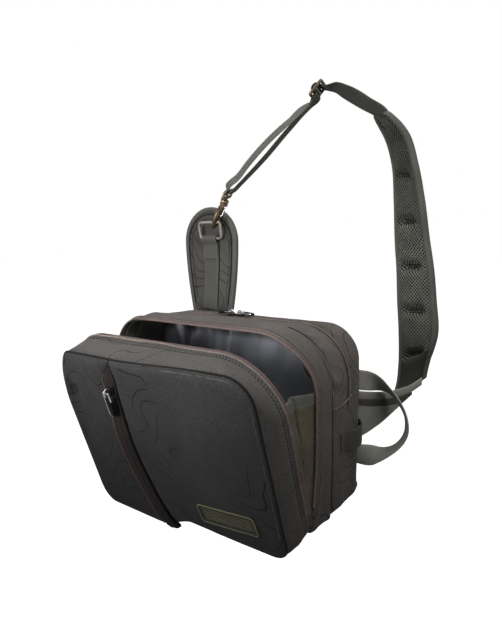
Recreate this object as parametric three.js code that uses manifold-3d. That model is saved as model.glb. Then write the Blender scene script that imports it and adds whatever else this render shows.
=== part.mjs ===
// Sling bag for lure fishing: a box-shaped cloth body, a drop-down front flap that stands
// partly open, and one padded shoulder strap that is clipped to a tongue behind the bag.
// Millimetres, +Z up. The front faces -Y and the wearer is on the +Y side.
// The bag is laid out about the middle of its base, with y = 0 at the mouth, and is then moved
// so that the origin is the place under the strap where it hangs.

import * as THREE from "three";
import { mergeVertices } from "three/addons/utils/BufferGeometryUtils.js";
import Module from "manifold-3d";

const wasm = await Module();
wasm.setup();

// Driving sizes
const CLEAR = 0.3;
const BAG_WIDTH = 300;
const BAG_HEIGHT = 215;
const BODY_DEPTH = 118;
const FLAP_DEPTH = 43;
const FLAP_TILT = THREE.MathUtils.degToRad(17.3);
const TOP_RADIUS_LEFT = 48;
const TOP_RADIUS_RIGHT = 72;
const BOTTOM_RADIUS = 8;
const FLAP_BOTTOM_RADIUS = 18;
const WALL = 2.5;
const LINING = 1;
const WEBBING_WIDTH = 25;
const WEBBING_THICK = 1.8;
const HANG = new THREE.Vector3(104, 157, 482.7);

// Fineness of the outline of the bag
const SMALL_ARC_STEPS = 3;
const LARGE_ARC_STEPS = 7;
const SIDE_STEPS = 3;
const EDGE_STEPS = 4;

// Gussets of the body, front to back. Inset takes in the sides and the top, drop lowers the top,
// lift raises the base, and right is the radius of the top right corner.
const FRONT_BAND = [
  { y: 0, inset: 1.5, drop: 0, lift: 0.8, right: TOP_RADIUS_RIGHT },
  { y: 4, inset: 0, drop: 0, lift: 0, right: TOP_RADIUS_RIGHT },
  { y: 27, inset: -1.5, drop: 0, lift: 0, right: 70 },
  { y: 35.6, inset: 0.8, drop: 0.5, lift: 0, right: 68 },
];
const MIDDLE_BAND = [
  { y: 36, inset: 4.5, drop: 1, lift: 0, right: 68 },
  { y: 46, inset: 0.5, drop: 2, lift: 0, right: 66 },
  { y: 79, inset: 0, drop: 3.5, lift: 0, right: 64 },
  { y: 80, inset: 2.4, drop: 3.5, lift: 0, right: 64 },
  { y: 83, inset: 2.4, drop: 3.5, lift: 0, right: 64 },
];
const REAR_BAND = [
  { y: 83.3, inset: 2.4, drop: 3.5, lift: 0, right: 64 },
  { y: 87, inset: 2.4, drop: 3.5, lift: 0, right: 64 },
  { y: 88, inset: 0, drop: 3.5, lift: 0, right: 63 },
  { y: 104, inset: 0, drop: 4, lift: 0, right: 49 },
  { y: 111, inset: 1.5, drop: 4, lift: 1, right: 44 },
  { y: 115, inset: 5, drop: 4, lift: 3, right: 41 },
];
const BACK_PANEL = [
  { y: 115.3, inset: 5.4, drop: 4, lift: 3.3, right: 41 },
  { y: BODY_DEPTH, inset: 9, drop: 4, lift: 6, right: 39 },
];
const DIVIDER_Y = 76.2;

// Gusset of the flap, from the zip edge to the front seam, in the frame of the flap.
// Shift moves the outline to the right, inset takes in the sides and drop lowers the top.
const FLAP_BAND = [
  { y: 0, shift: 0, inset: 1.5, drop: 1.5, lift: 0.8, radiusLeft: 47, radiusRight: 71 },
  { y: -4, shift: 0, inset: 0, drop: 0, lift: 0, radiusLeft: 48, radiusRight: 70 },
  { y: -22, shift: 0.5, inset: 0, drop: -0.5, lift: 1, radiusLeft: 53, radiusRight: 52 },
  { y: -37, shift: 2, inset: 3, drop: 0.5, lift: 5, radiusLeft: 60, radiusRight: 34 },
  { y: -FLAP_DEPTH, shift: 3, inset: 5.5, drop: 3, lift: 8.5, radiusLeft: 64, radiusRight: 28 },
];
const HINGE_Z = -0.8;
const FLAP_SAG = 24;
const SAG_FROM_X = 20;
const SAG_TO_X = -45;
const SAG_HEIGHT = 70;
const FLAP_BACK_Y = -5.5;
const PANEL_THICK = 3.5;
const PANEL_CROWN = 5;
const PANEL_ROWS = 10;

// Slanting zip on the front of the flap, from the top to the bottom
const FRONT_ZIP_WIDTH = 15;
const FRONT_ZIP_RIDGE = 5.5;
const FRONT_ZIP_LINE = [
  { x: -32, z: 215 },
  { x: -41, z: 165 },
  { x: -43.5, z: 110 },
  { x: -34.5, z: 55 },
  { x: -15, z: 0 },
];
const FRONT_SLIDER_Z = 178;

// Webs between the flap and the mouth
const WEB_BOTTOM = 24;
const WEB_TOP = 154;
const WEB_BINDING = 8;
const WEB_INSET = 4.9;
const WEB_FOLD_IN = 13;
const WEB_THICK = 1.2;
const WEB_LEVELS = 5;

// Zip tapes
const ZIP_FROM_Z = 30;
const ZIP_OUTER_INSET = 1.2;
const ZIP_INNER_INSET = 3.7;
const ZIP_STAND = 2.4;
const REAR_ZIP_FROM_Z = 117;
const REAR_ZIP_Y = [80.5, 86.5];
const REAR_SLIDERS = [
  { suffix: "_left", x: -20, side: -1 },
  { suffix: "_right", x: -6, side: 1 },
];

// Badge on the right of the front panel
const BADGE = { x: 82, z: 43, wide: 76, tall: 25, corner: 4, thick: 2.4, rim: 2.6, sunk: 1, turn: 6 };

// Tongue behind the bag
const TONGUE = {
  x: -84.5, baseZ: 192, baseHalf: 29, middleZ: 308, halfWide: 43, crownTall: 44, thick: 6, binding: 3.5,
};
const TONGUE_SIDE_STEPS = 4;
const TONGUE_ARC_STEPS = 14;
const TONGUE_WEBBING = { baseX: -86, x: -80.5, y: 117, base: 213, wide: 25, doubled: 28 };
const RING = { x: -77, y: 113.8, z: 312.5, halfWide: 20, tall: 22, corner: 3.5, wire: 2 };
const RING_TILT = THREE.MathUtils.degToRad(21);

// Snap hook, along its own axis from the ring to the strap
const HOOK_X = -63.2;
const HOOK_RISE = THREE.MathUtils.degToRad(58.3);
const HOOK_ROLL = THREE.MathUtils.degToRad(20);
const HOOK = { bend: 8.5, wire: 2.4, centre: 2.75, tip: 9, shoulder: 25, neck: 31, post: 2, collar: 4.2 };
const GATE = { pivot: 27, side: 8.5, wire: 1.6, eye: 3, pin: 1.3, end: 10 };
const EYE = { base: 36, slot: 40, top: 46.8, end: 50.2, halfWide: 16.5, halfSlot: 13.2, thick: 3.4 };

// Strap slider
const SLIDER_CENTRE = new THREE.Vector3(75.5, 146, 489);
const SLIDER_RISE = THREE.MathUtils.degToRad(57.7);
const SLIDER_YAW = THREE.MathUtils.degToRad(17);
const SLIDER = { halfLong: 11.5, bar: 3.5, thick: 3.5, halfSlot: 13.2, rail: 3.5, centreBar: 1.8 };

// Shoulder pad from the fold behind the wing to its top end: left edge, right edge and thickness
const PAD_BINDING = 8;
const PAD_STEPS_PER_ROW = 2;
const PAD_COLUMNS = 4;
const PAD_ROWS = [
  { left: [152, 126.1, 74], right: [205.5, 182, 141], thick: 4 },
  { left: [168.5, 159, 104], right: [206.5, 182.5, 145], thick: 5 },
  { left: [169.5, 178, 122], right: [209.5, 180, 160], thick: 6 },
  { left: [169, 188, 148.5], right: [215, 175, 176], thick: 7 },
  { left: [167, 191, 193.5], right: [220, 171, 200], thick: 8 },
  { left: [164, 191, 231.5], right: [216.5, 170, 237], thick: 8 },
  { left: [162, 191, 269.5], right: [212.5, 169, 272], thick: 8 },
  { left: [158.5, 192, 307], right: [206.5, 167, 306.5], thick: 8 },
  { left: [156, 192, 356], right: [200, 163, 352], thick: 8 },
  { left: [153, 191, 397.5], right: [192, 160, 390.7], thick: 8 },
  { left: [143.5, 190, 430], right: [182.5, 155, 423.6], thick: 7.5 },
  { left: [126.5, 186, 460], right: [163, 147, 450.5], thick: 6 },
];

// Wing that joins the strap to the bag: a row for each section, with its distance behind the bag
// and its lower and upper edge
const WING_THICK = 2.5;
const WING_BINDING = 9.5;
const WING_ROWS = [
  { x: 118, behind: 1.6, low: 70, high: 127.4 },
  { x: 146, behind: 2, low: 69.7, high: 127.3 },
  { x: 162, behind: 12.5, low: 82, high: 126.4 },
  { x: 178, behind: 31, low: 100, high: 126.6 },
  { x: 194, behind: 46.5, low: 120, high: 132.7 },
  { x: 203, behind: 54.5, low: 129, high: 140.5 },
];

// Carry handle: middle of the webbing, with its distance behind the bag, and the direction across it
const HANDLE_ROWS = [
  { x: 118, behind: 1.3, z: 141, across: [0, 0, 1] },
  { x: 143, behind: 1.8, z: 140.9, across: [0, 0, 1] },
  { x: 155, behind: 3.6, z: 141, across: [0, -0.1, 1] },
  { x: 168, behind: 6, z: 138.8, across: [0.15, -0.5, 0.85] },
  { x: 181, behind: 7, z: 132, across: [0.4, -0.78, 0.48] },
  { x: 193, behind: 6.5, z: 120, across: [0.43, -0.83, 0.34] },
  { x: 202, behind: 6.5, z: 102, across: [0.42, -0.87, 0.27] },
  { x: 202.5, behind: 7, z: 86.5, across: [0.46, -0.83, 0.3] },
  { x: 196, behind: 7, z: 71, across: [0.52, -0.78, 0.33] },
  { x: 185, behind: 6, z: 59, across: [0.6, -0.75, 0.2] },
  { x: 172, behind: 4.6, z: 51.5, across: [0.55, -0.78, -0.25] },
  { x: 158, behind: 3, z: 48.2, across: [0.25, -0.4, -0.9] },
  { x: 146, behind: 1.7, z: 47, across: [0, 0, -1] },
  { x: 118, behind: 1.3, z: 46.5, across: [0, 0, -1] },
];

// Side loop: route of the webbing round the rear right edge
const LOOP_Z = 82.5;
const LOOP_ROWS = [
  { x: 151.1, y: 58 },
  { x: 151.2, y: 66 },
  { x: 156, y: 77 },
  { x: 158.8, y: 90 },
  { x: 157.3, y: 101 },
  { x: 152.6, y: 108.5 },
  { x: 147.7, y: 113.8 },
];

// Looks
const looks = {
  cloth: { color: 0x4b4641, roughness: 0.9, metalness: 0 },
  panel: { color: 0x323230, roughness: 0.9, metalness: 0 },
  lining: { color: 0x7b8288, roughness: 0.45, metalness: 0 },
  web: { color: 0x5d5c4c, roughness: 0.9, metalness: 0 },
  tape: { color: 0x5c605a, roughness: 0.85, metalness: 0 },
  zip: { color: 0x6d5750, roughness: 0.7, metalness: 0 },
  mesh: { color: 0x45463c, roughness: 0.95, metalness: 0 },
  badge: { color: 0x55523a, roughness: 0.5, metalness: 0.2 },
  puller: { color: 0x1c1c1d, roughness: 0.5, metalness: 0 },
  slider: { color: 0x8f9092, roughness: 0.35, metalness: 0.9 },
  ring: { color: 0xa3a6a0, roughness: 0.5, metalness: 0.3 },
  bronze: { color: 0x5a4330, roughness: 0.45, metalness: 0.8 },
  steel: { color: 0xc8c8c6, roughness: 0.3, metalness: 1 },
};

// Geometry helpers

const vector = (list) => new THREE.Vector3(...list);

function fromTriangles(positions, faces) {
  const geometry = new THREE.BufferGeometry();
  let volume = 0;
  const corner = (i) => new THREE.Vector3().fromArray(positions, faces[i] * 3);
  for (let i = 0; i < faces.length; i += 3) {
    volume += corner(i).dot(corner(i + 1).cross(corner(i + 2)));
  }
  const outward = volume > 0 ? faces : [...faces].reverse();
  geometry.setAttribute("position", new THREE.Float32BufferAttribute(positions, 3));
  geometry.setIndex(outward);
  return geometry;
}

// Closed skin through rings of equal length. A loop joins the last ring to the first.
function loft(rings, loop = false) {
  const count = rings[0].length;
  const points = rings.flat();
  const faces = [];
  const steps = loop ? rings.length : rings.length - 1;
  for (let i = 0; i < steps; i += 1) {
    const here = i * count;
    const next = ((i + 1) % rings.length) * count;
    for (let j = 0; j < count; j += 1) {
      const k = (j + 1) % count;
      faces.push(here + j, here + k, next + k);
      faces.push(here + j, next + k, next + j);
    }
  }
  if (!loop) {
    const last = (rings.length - 1) * count;
    const middle = (ring) => ring.reduce((sum, p) => sum.add(p), new THREE.Vector3()).divideScalar(count);
    points.push(middle(rings[0]), middle(rings.at(-1)));
    for (let j = 0; j < count; j += 1) {
      const k = (j + 1) % count;
      faces.push(points.length - 2, k, j);
      faces.push(points.length - 1, last + j, last + k);
    }
  }
  return fromTriangles(points.flatMap((p) => [p.x, p.y, p.z]), faces);
}

// Closed slab between two grids of points, rows by columns
function slab(front, back) {
  const rows = front.length;
  const columns = front[0].length;
  const points = [...front.flat(), ...back.flat()];
  const shift = rows * columns;
  const at = (i, j) => i * columns + j;
  const faces = [];
  const quad = (a, b, c, d) => faces.push(a, b, c, a, c, d);
  for (let i = 0; i + 1 < rows; i += 1) {
    for (let j = 0; j + 1 < columns; j += 1) {
      quad(at(i, j), at(i, j + 1), at(i + 1, j + 1), at(i + 1, j));
      quad(shift + at(i, j), shift + at(i + 1, j), shift + at(i + 1, j + 1), shift + at(i, j + 1));
    }
  }
  for (let i = 0; i + 1 < rows; i += 1) {
    const right = columns - 1;
    quad(at(i, 0), at(i + 1, 0), shift + at(i + 1, 0), shift + at(i, 0));
    quad(at(i, right), shift + at(i, right), shift + at(i + 1, right), at(i + 1, right));
  }
  for (let j = 0; j + 1 < columns; j += 1) {
    const top = rows - 1;
    quad(at(0, j), shift + at(0, j), shift + at(0, j + 1), at(0, j + 1));
    quad(at(top, j), at(top, j + 1), shift + at(top, j + 1), shift + at(top, j));
  }
  return fromTriangles(points.flatMap((p) => [p.x, p.y, p.z]), faces);
}

// Sheet of a given thickness about a grid of points
function sheet(grid, thickness) {
  const rows = grid.length;
  const columns = grid[0].length;
  const side = (sign) => grid.map((row, i) => row.map((point, j) => {
    const along = grid[Math.min(i + 1, rows - 1)][j].clone().sub(grid[Math.max(i - 1, 0)][j]);
    const across = row[Math.min(j + 1, columns - 1)].clone().sub(row[Math.max(j - 1, 0)]);
    const normal = across.cross(along).normalize();
    const thick = typeof thickness === "function" ? thickness(i, j) : thickness;
    return point.clone().addScaledVector(normal, (sign * thick) / 2);
  }));
  return slab(side(1), side(-1));
}

// Webbing through rows of { at, across }
function webbing(rows, width = WEBBING_WIDTH) {
  const grid = rows.map(({ at, across }) => {
    const half = vector(across).normalize().multiplyScalar(width / 2);
    return [vector(at).sub(half), vector(at).add(half)];
  });
  return sheet(grid, WEBBING_THICK);
}

function solid(geometry) {
  const bare = geometry.clone();
  bare.deleteAttribute("normal");
  bare.deleteAttribute("uv");
  const merged = mergeVertices(bare, 1e-4);
  return new wasm.Manifold(new wasm.Mesh({
    numProp: 3,
    vertProperties: Float32Array.from(merged.attributes.position.array),
    triVerts: Uint32Array.from(merged.index.array),
  }));
}

function geometryOf(manifold) {
  const mesh = manifold.getMesh();
  const positions = new Float32Array(mesh.numVert * 3);
  for (let i = 0; i < mesh.numVert; i += 1) {
    positions.set(mesh.vertProperties.subarray(i * mesh.numProp, i * mesh.numProp + 3), i * 3);
  }
  const geometry = new THREE.BufferGeometry();
  geometry.setAttribute("position", new THREE.BufferAttribute(positions, 3));
  geometry.setIndex(new THREE.BufferAttribute(Uint32Array.from(mesh.triVerts), 1));
  return geometry;
}

const join = (...pieces) => geometryOf(pieces.map(solid).reduce((sum, piece) => sum.add(piece)));
const cut = (base, ...tools) => geometryOf(tools.map(solid).reduce((rest, tool) => rest.subtract(tool), solid(base)));

const block = (x, y, z, cx = 0, cy = 0, cz = 0) => new THREE.BoxGeometry(x, y, z).translate(cx, cy, cz);
const rod = (radius, length, sides = 10) => new THREE.CylinderGeometry(radius, radius, length, sides);

// Outline of the bag

const clamp = THREE.MathUtils.clamp;
const smooth = THREE.MathUtils.smoothstep;

function arc(centreX, centreZ, radius, fromDegrees, steps) {
  return Array.from({ length: steps + 1 }, (_, i) => {
    const angle = THREE.MathUtils.degToRad(fromDegrees + (90 * i) / steps);
    return { x: centreX + radius * Math.cos(angle), z: centreZ + radius * Math.sin(angle) };
  });
}

// Closed list of points, from the lower right corner up, over the top and round to the base
function outline({ half, top, bottom, radiusLeft, radiusRight, radiusBottom }) {
  const low = radiusBottom;
  const corners = [
    arc(half - low, bottom + low, low, -90, SMALL_ARC_STEPS),
    arc(half - radiusRight, top - radiusRight, radiusRight, 0, LARGE_ARC_STEPS),
    arc(-half + radiusLeft, top - radiusLeft, radiusLeft, 90, LARGE_ARC_STEPS),
    arc(-half + low, bottom + low, low, 180, SMALL_ARC_STEPS),
  ];
  const edgeSteps = [SIDE_STEPS, EDGE_STEPS, SIDE_STEPS, EDGE_STEPS];
  const points = [];
  corners.forEach((corner, i) => {
    points.push(...corner);
    const from = corner.at(-1);
    const to = corners[(i + 1) % corners.length][0];
    for (let step = 1; step < edgeSteps[i]; step += 1) {
      const part = step / edgeSteps[i];
      points.push({ x: from.x + (to.x - from.x) * part, z: from.z + (to.z - from.z) * part });
    }
  });
  return points;
}

function bodyOutline({ inset, drop, lift, right }, deeper = 0) {
  const all = inset + deeper;
  return outline({
    half: BAG_WIDTH / 2 - all,
    top: BAG_HEIGHT - drop - all,
    bottom: lift + deeper,
    radiusLeft: TOP_RADIUS_LEFT - all,
    radiusRight: right - all,
    radiusBottom: BOTTOM_RADIUS - deeper,
  });
}

// The lower left of the flap hangs lower towards its front
function sagAt(x, y, z) {
  const aside = 1 - smooth(x, SAG_TO_X, SAG_FROM_X);
  return FLAP_SAG * aside * clamp(-y / FLAP_DEPTH, 0, 1) * (1 - smooth(z, 0, SAG_HEIGHT));
}

function flapOutline({ y, shift, inset, drop, lift, radiusLeft, radiusRight }, deeper = 0) {
  const points = outline({
    half: BAG_WIDTH / 2 - inset - deeper,
    top: BAG_HEIGHT - drop - deeper,
    bottom: lift + deeper,
    radiusLeft: radiusLeft - deeper,
    radiusRight: radiusRight - deeper,
    radiusBottom: FLAP_BOTTOM_RADIUS - deeper,
  });
  return points.map(({ x, z }) => ({ x: x + shift, z: z - sagAt(x, y, z) }));
}

const ringAt = (points, y) => points.map(({ x, z }) => new THREE.Vector3(x, y, z));

// Gusset: an outer skin and an inner skin, one wall apart, joined at both edges
function gusset(rows, outlineOf) {
  const outer = rows.map((row) => ringAt(outlineOf(row), row.y));
  const inner = rows.map((row) => ringAt(outlineOf(row, WALL), row.y));
  return loft([...outer, ...inner.reverse()], true);
}

// Stretch of an outline above a height, from the right side over the top to the left side
function archAbove(points, fromZ) {
  const above = points.filter(({ z }) => z > fromZ + 1);
  return [{ x: above[0].x, z: fromZ }, ...above, { x: above.at(-1).x, z: fromZ }];
}

// Zip tape along an arch, between two outlines and two depths
function zipTape(outerPoints, innerPoints, fromZ, y0, y1) {
  const outer = archAbove(outerPoints, fromZ);
  const inner = archAbove(innerPoints, fromZ);
  const rings = outer.map((p, i) => [
    new THREE.Vector3(p.x, y0, p.z),
    new THREE.Vector3(p.x, y1, p.z),
    new THREE.Vector3(inner[i].x, y1, inner[i].z),
    new THREE.Vector3(inner[i].x, y0, inner[i].z),
  ]);
  return loft(rings);
}

// Placing of meshes

const bag = new THREE.Group();
const flap = new THREE.Group();
flap.position.set(0, -CLEAR, HINGE_Z);
flap.rotation.x = FLAP_TILT;
bag.add(flap);

function put(group, name, look, geometry) {
  const mesh = new THREE.Mesh(geometry, new THREE.MeshStandardMaterial(looks[look]));
  mesh.name = name;
  group.add(mesh);
  return mesh;
}

// Body

put(bag, "body_front_band", "cloth", gusset(FRONT_BAND, bodyOutline));
put(bag, "body_middle_band", "cloth", gusset(MIDDLE_BAND, bodyOutline));
put(bag, "body_rear_band", "cloth", gusset(REAR_BAND, bodyOutline));
put(bag, "back_panel", "cloth", loft(BACK_PANEL.map((row) => ringAt(bodyOutline(row), row.y))));

function makeLining() {
  const deeper = WALL + 0.4;
  const [, front, bulge, lip] = FRONT_BAND;
  const [step, wide] = MIDDLE_BAND;
  const rows = [
    { ...front, y: 6 },
    { ...bulge, inset: bulge.inset + 0.4 },
    { ...step, y: lip.y - 0.4 },
    step,
    wide,
    { ...wide, y: DIVIDER_Y - CLEAR, drop: 3.5 },
  ];
  const outer = rows.map((row) => ringAt(bodyOutline(row, deeper), row.y));
  const inner = rows.map((row) => ringAt(bodyOutline(row, deeper + LINING), row.y));
  return loft([...outer, ...inner.reverse()], true);
}

put(bag, "lining", "lining", makeLining());

const dividerOutline = bodyOutline({ ...MIDDLE_BAND[2], lift: 0 }, WALL + CLEAR);
put(bag, "divider", "lining", loft([DIVIDER_Y, DIVIDER_Y + WALL].map((y) => ringAt(dividerOutline, y))));

const rimRow = { inset: 0, drop: 0, lift: 0, right: TOP_RADIUS_RIGHT };
put(bag, "rim_zip", "zip", zipTape(
  bodyOutline(rimRow, ZIP_OUTER_INSET), bodyOutline(rimRow, ZIP_INNER_INSET),
  ZIP_FROM_Z, -CLEAR - ZIP_STAND, -CLEAR,
));

const groove = MIDDLE_BAND.at(-1);
const rearZipTop = { ...groove, inset: groove.inset - CLEAR - ZIP_STAND };
put(bag, "rear_zip", "zip", zipTape(
  bodyOutline(rearZipTop), bodyOutline({ ...groove, inset: groove.inset - CLEAR }),
  REAR_ZIP_FROM_Z, ...REAR_ZIP_Y,
));

// Zip sliders and pullers, in a frame whose +Z leaves the zip and whose +X is where the puller lies

const SLIDER_BODY = { long: 11, wide: 8, tall: 3 };
const BAIL = { post: 4.2, thick: 1.4, deep: 3, inside: 3.4 };
const PULL = { axis: 5, pin: 0.9, arm: 3.4, armWide: 1.8, armThick: 1.6, neck: 7, wide: 9, thick: 2.6, droop: 5 };

function sliderBody() {
  const top = CLEAR + SLIDER_BODY.tall;
  const postTall = BAIL.inside + BAIL.thick;
  return join(
    block(SLIDER_BODY.long, SLIDER_BODY.wide, SLIDER_BODY.tall, 0, 0, CLEAR + SLIDER_BODY.tall / 2),
    block(BAIL.thick, BAIL.deep, postTall + 1, BAIL.post, 0, top + postTall / 2 - 0.5),
    block(BAIL.thick, BAIL.deep, postTall + 1, -BAIL.post, 0, top + postTall / 2 - 0.5),
    block(2 * BAIL.post + BAIL.thick, BAIL.deep, BAIL.thick, 0, 0, top + BAIL.inside + BAIL.thick / 2),
  );
}

// The puller turns about its pin, which is at the origin here
function pullerBody(length) {
  const pinLong = 2 * PULL.arm + PULL.armWide;
  const tab = new THREE.Shape();
  const half = PULL.wide / 2;
  tab.moveTo(PULL.neck, -half);
  tab.lineTo(length - half, -half);
  tab.absarc(length - half, 0, half, -Math.PI / 2, Math.PI / 2);
  tab.lineTo(PULL.neck, half);
  tab.closePath();
  const plate = new THREE.ExtrudeGeometry(tab, { depth: PULL.thick, bevelEnabled: false, curveSegments: 8 });
  const arms = [-1, 1].map((side) => block(
    PULL.neck + 2, PULL.armWide, PULL.armThick, PULL.neck / 2 + 0.6, side * PULL.arm, 0,
  ));
  return join(rod(PULL.pin, pinLong), ...arms, plate.translate(0, 0, -PULL.thick / 2));
}

function addSlider(group, place, prefix, suffix, length) {
  const frame = new THREE.Group();
  frame.applyMatrix4(place);
  group.add(frame);
  put(frame, `${prefix}_slider${suffix}`, "slider", sliderBody());
  const puller = put(frame, `${prefix}_puller${suffix}`, "puller", pullerBody(length));
  puller.position.z = PULL.axis;
  puller.rotation.y = THREE.MathUtils.degToRad(PULL.droop);
}

const basis = (x, y, z, origin) => new THREE.Matrix4().makeBasis(x, y, z).setPosition(origin);

const rearZipSurface = BAG_HEIGHT - rearZipTop.drop - rearZipTop.inset;
const REAR_PULLER_LENGTH = 21;
for (const { suffix, x, side } of REAR_SLIDERS) {
  const along = new THREE.Vector3(side, 0, 0);
  const up = new THREE.Vector3(0, 0, 1);
  const origin = new THREE.Vector3(x, (REAR_ZIP_Y[0] + REAR_ZIP_Y[1]) / 2, rearZipSurface);
  const place = basis(along, up.clone().cross(along), up, origin);
  addSlider(bag, place, "rear_zip", suffix, REAR_PULLER_LENGTH);
}

// Flap

put(flap, "flap_gusset", "cloth", gusset(FLAP_BAND, flapOutline));

const backRow = { ...FLAP_BAND[1], y: FLAP_BACK_Y };
const flapBackOutline = flapOutline(backRow, WALL + 0.6);
put(flap, "flap_back", "lining", loft([FLAP_BACK_Y, FLAP_BACK_Y - WALL].map((y) => ringAt(flapBackOutline, y))));

const flapZipRow = { ...FLAP_BAND[0], inset: 0, drop: 0, lift: 0 };
put(flap, "flap_zip", "zip", zipTape(
  flapOutline(flapZipRow, ZIP_OUTER_INSET), flapOutline(flapZipRow, ZIP_INNER_INSET),
  ZIP_FROM_Z, CLEAR, CLEAR + ZIP_STAND,
));

// Front panels: a crowned, padded front that the slanting zip parts in two

const zipCurve = new THREE.CatmullRomCurve3(FRONT_ZIP_LINE.map(({ x, z }) => new THREE.Vector3(x, 0, z)));
const zipSamples = zipCurve.getPoints(60);

function zipX(z) {
  const next = zipSamples.findIndex((p) => p.z <= z);
  if (next <= 0) return zipSamples[0].x;
  const a = zipSamples[next - 1];
  const b = zipSamples[next];
  return a.x + ((b.x - a.x) * (a.z - z)) / (a.z - b.z);
}

const seam = FLAP_BAND.at(-1);
const seamHalf = BAG_WIDTH / 2 - seam.inset;
const seamTop = BAG_HEIGHT - seam.drop;
const seamBottom = seam.lift;

// Reach of the seam to one side of its middle at a height
function seamReach(z, radius) {
  const fromTop = radius - (seamTop - z);
  if (fromTop > 0) return seamHalf - radius + Math.sqrt(Math.max(radius ** 2 - fromTop ** 2, 0));
  const low = FLAP_BOTTOM_RADIUS;
  const fromBase = low - (z - seamBottom);
  if (fromBase > 0) return seamHalf - low + Math.sqrt(Math.max(low ** 2 - fromBase ** 2, 0));
  return seamHalf;
}

function crownAt(x, z) {
  const aside = 1 - ((x - seam.shift) / seamHalf) ** 2;
  const upright = 1 - ((z - (seamTop + seamBottom) / 2) / ((seamTop - seamBottom) / 2)) ** 2;
  return PANEL_CROWN * Math.sqrt(Math.max(aside * upright, 0));
}

const panelBackY = (x, z) => -FLAP_DEPTH - CLEAR - crownAt(x, z);

function panelPoint(x, z, out) {
  const y = panelBackY(x, z) - out;
  return new THREE.Vector3(x, y, z - sagAt(x, -FLAP_DEPTH, z));
}

// Heights closer together towards the base and the top, where the corners turn
const panelHeights = Array.from({ length: PANEL_ROWS + 1 }, (_, i) => {
  const part = (1 - Math.cos((Math.PI * i) / PANEL_ROWS)) / 2;
  return seamBottom + (seamTop - seamBottom) * part;
});

function frontPanel(columns, from, to) {
  const grid = (out) => panelHeights.map((z) => Array.from({ length: columns + 1 }, (_, j) => {
    const x = from(z) + ((to(z) - from(z)) * j) / columns;
    return panelPoint(x, z, out);
  }));
  return slab(grid(0), grid(PANEL_THICK));
}

const zipHalf = FRONT_ZIP_WIDTH / 2 + CLEAR;
put(flap, "front_panel_left", "panel", frontPanel(
  5, (z) => seam.shift - seamReach(z, seam.radiusLeft), (z) => zipX(z) - zipHalf,
));
put(flap, "front_panel_right", "panel", frontPanel(
  8, (z) => zipX(z) + zipHalf, (z) => seam.shift + seamReach(z, seam.radiusRight),
));

function makeFrontZip() {
  const half = FRONT_ZIP_WIDTH / 2;
  const section = [
    { across: -half, out: 0 },
    { across: half, out: 0 },
    { across: half, out: PANEL_THICK },
    { across: half * 0.45, out: FRONT_ZIP_RIDGE },
    { across: -half * 0.45, out: FRONT_ZIP_RIDGE },
    { across: -half, out: PANEL_THICK },
  ];
  return loft(panelHeights.map((z) => section.map(({ across, out }) => {
    const middle = zipX(z);
    const base = panelPoint(middle, z, 0);
    return new THREE.Vector3(middle + across, base.y - out, base.z);
  })));
}

put(flap, "front_zip", "panel", makeFrontZip());

// The slider lies on the ridge of the slanting zip, with its puller hanging down along it
const FRONT_PULLER_LENGTH = 32;

function frontSliderPlace() {
  const reach = 14;
  const origin = panelPoint(zipX(FRONT_SLIDER_Z), FRONT_SLIDER_Z, FRONT_ZIP_RIDGE);
  const lower = panelPoint(zipX(FRONT_SLIDER_Z - reach), FRONT_SLIDER_Z - reach, FRONT_ZIP_RIDGE);
  const along = lower.sub(origin).normalize();
  const out = new THREE.Vector3(0, -1, 0).addScaledVector(along, along.y).normalize();
  origin.addScaledVector(out, CLEAR);
  return basis(along, out.clone().cross(along), out, origin);
}

addSlider(flap, frontSliderPlace(), "front_zip", "", FRONT_PULLER_LENGTH);

// Badge: a bare plate with a raised rim

function roundedRectangle(wide, tall, corner) {
  const shape = new THREE.Shape();
  const x = wide / 2 - corner;
  const y = tall / 2 - corner;
  shape.absarc(x, -y, corner, -Math.PI / 2, 0);
  shape.absarc(x, y, corner, 0, Math.PI / 2);
  shape.absarc(-x, y, corner, Math.PI / 2, Math.PI);
  shape.absarc(-x, -y, corner, Math.PI, 1.5 * Math.PI);
  shape.closePath();
  return shape;
}

function plate(shape, depth) {
  return new THREE.ExtrudeGeometry(shape, { depth, bevelEnabled: false, curveSegments: 4 });
}

function makeBadge() {
  const whole = plate(roundedRectangle(BADGE.wide, BADGE.tall, BADGE.corner), BADGE.thick);
  const field = roundedRectangle(BADGE.wide - 2 * BADGE.rim, BADGE.tall - 2 * BADGE.rim, BADGE.corner - 1);
  return cut(whole, plate(field, BADGE.thick).translate(0, 0, BADGE.thick - BADGE.sunk));
}

// The badge lies on the crowned panel along the slope of the panel at its middle
function badgePlace() {
  const reach = 20;
  const spot = (dx, dz) => panelPoint(BADGE.x + dx, BADGE.z + dz, PANEL_THICK);
  const along = spot(reach, 0).sub(spot(-reach, 0)).normalize();
  const rise = spot(0, reach / 2).sub(spot(0, -reach / 2)).normalize();
  const out = along.clone().cross(rise).normalize();
  const turned = along.applyAxisAngle(out, THREE.MathUtils.degToRad(BADGE.turn));
  const highest = [-1, 0, 1].flatMap((i) => [-1, 0, 1].map((j) => (
    spot((i * BADGE.wide) / 2, (j * BADGE.tall) / 2).sub(spot(0, 0)).dot(out)
  )));
  const origin = spot(0, 0).addScaledVector(out, Math.max(...highest) + CLEAR + 0.1);
  return basis(turned, out.clone().cross(turned), out, origin);
}

put(flap, "badge", "badge", makeBadge()).applyMatrix4(badgePlace());

// Webs: a folded sheet between the mouth and the flap on each side

const flapMatrix = new THREE.Matrix4().compose(
  flap.position, new THREE.Quaternion().setFromEuler(flap.rotation), new THREE.Vector3(1, 1, 1),
);

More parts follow.
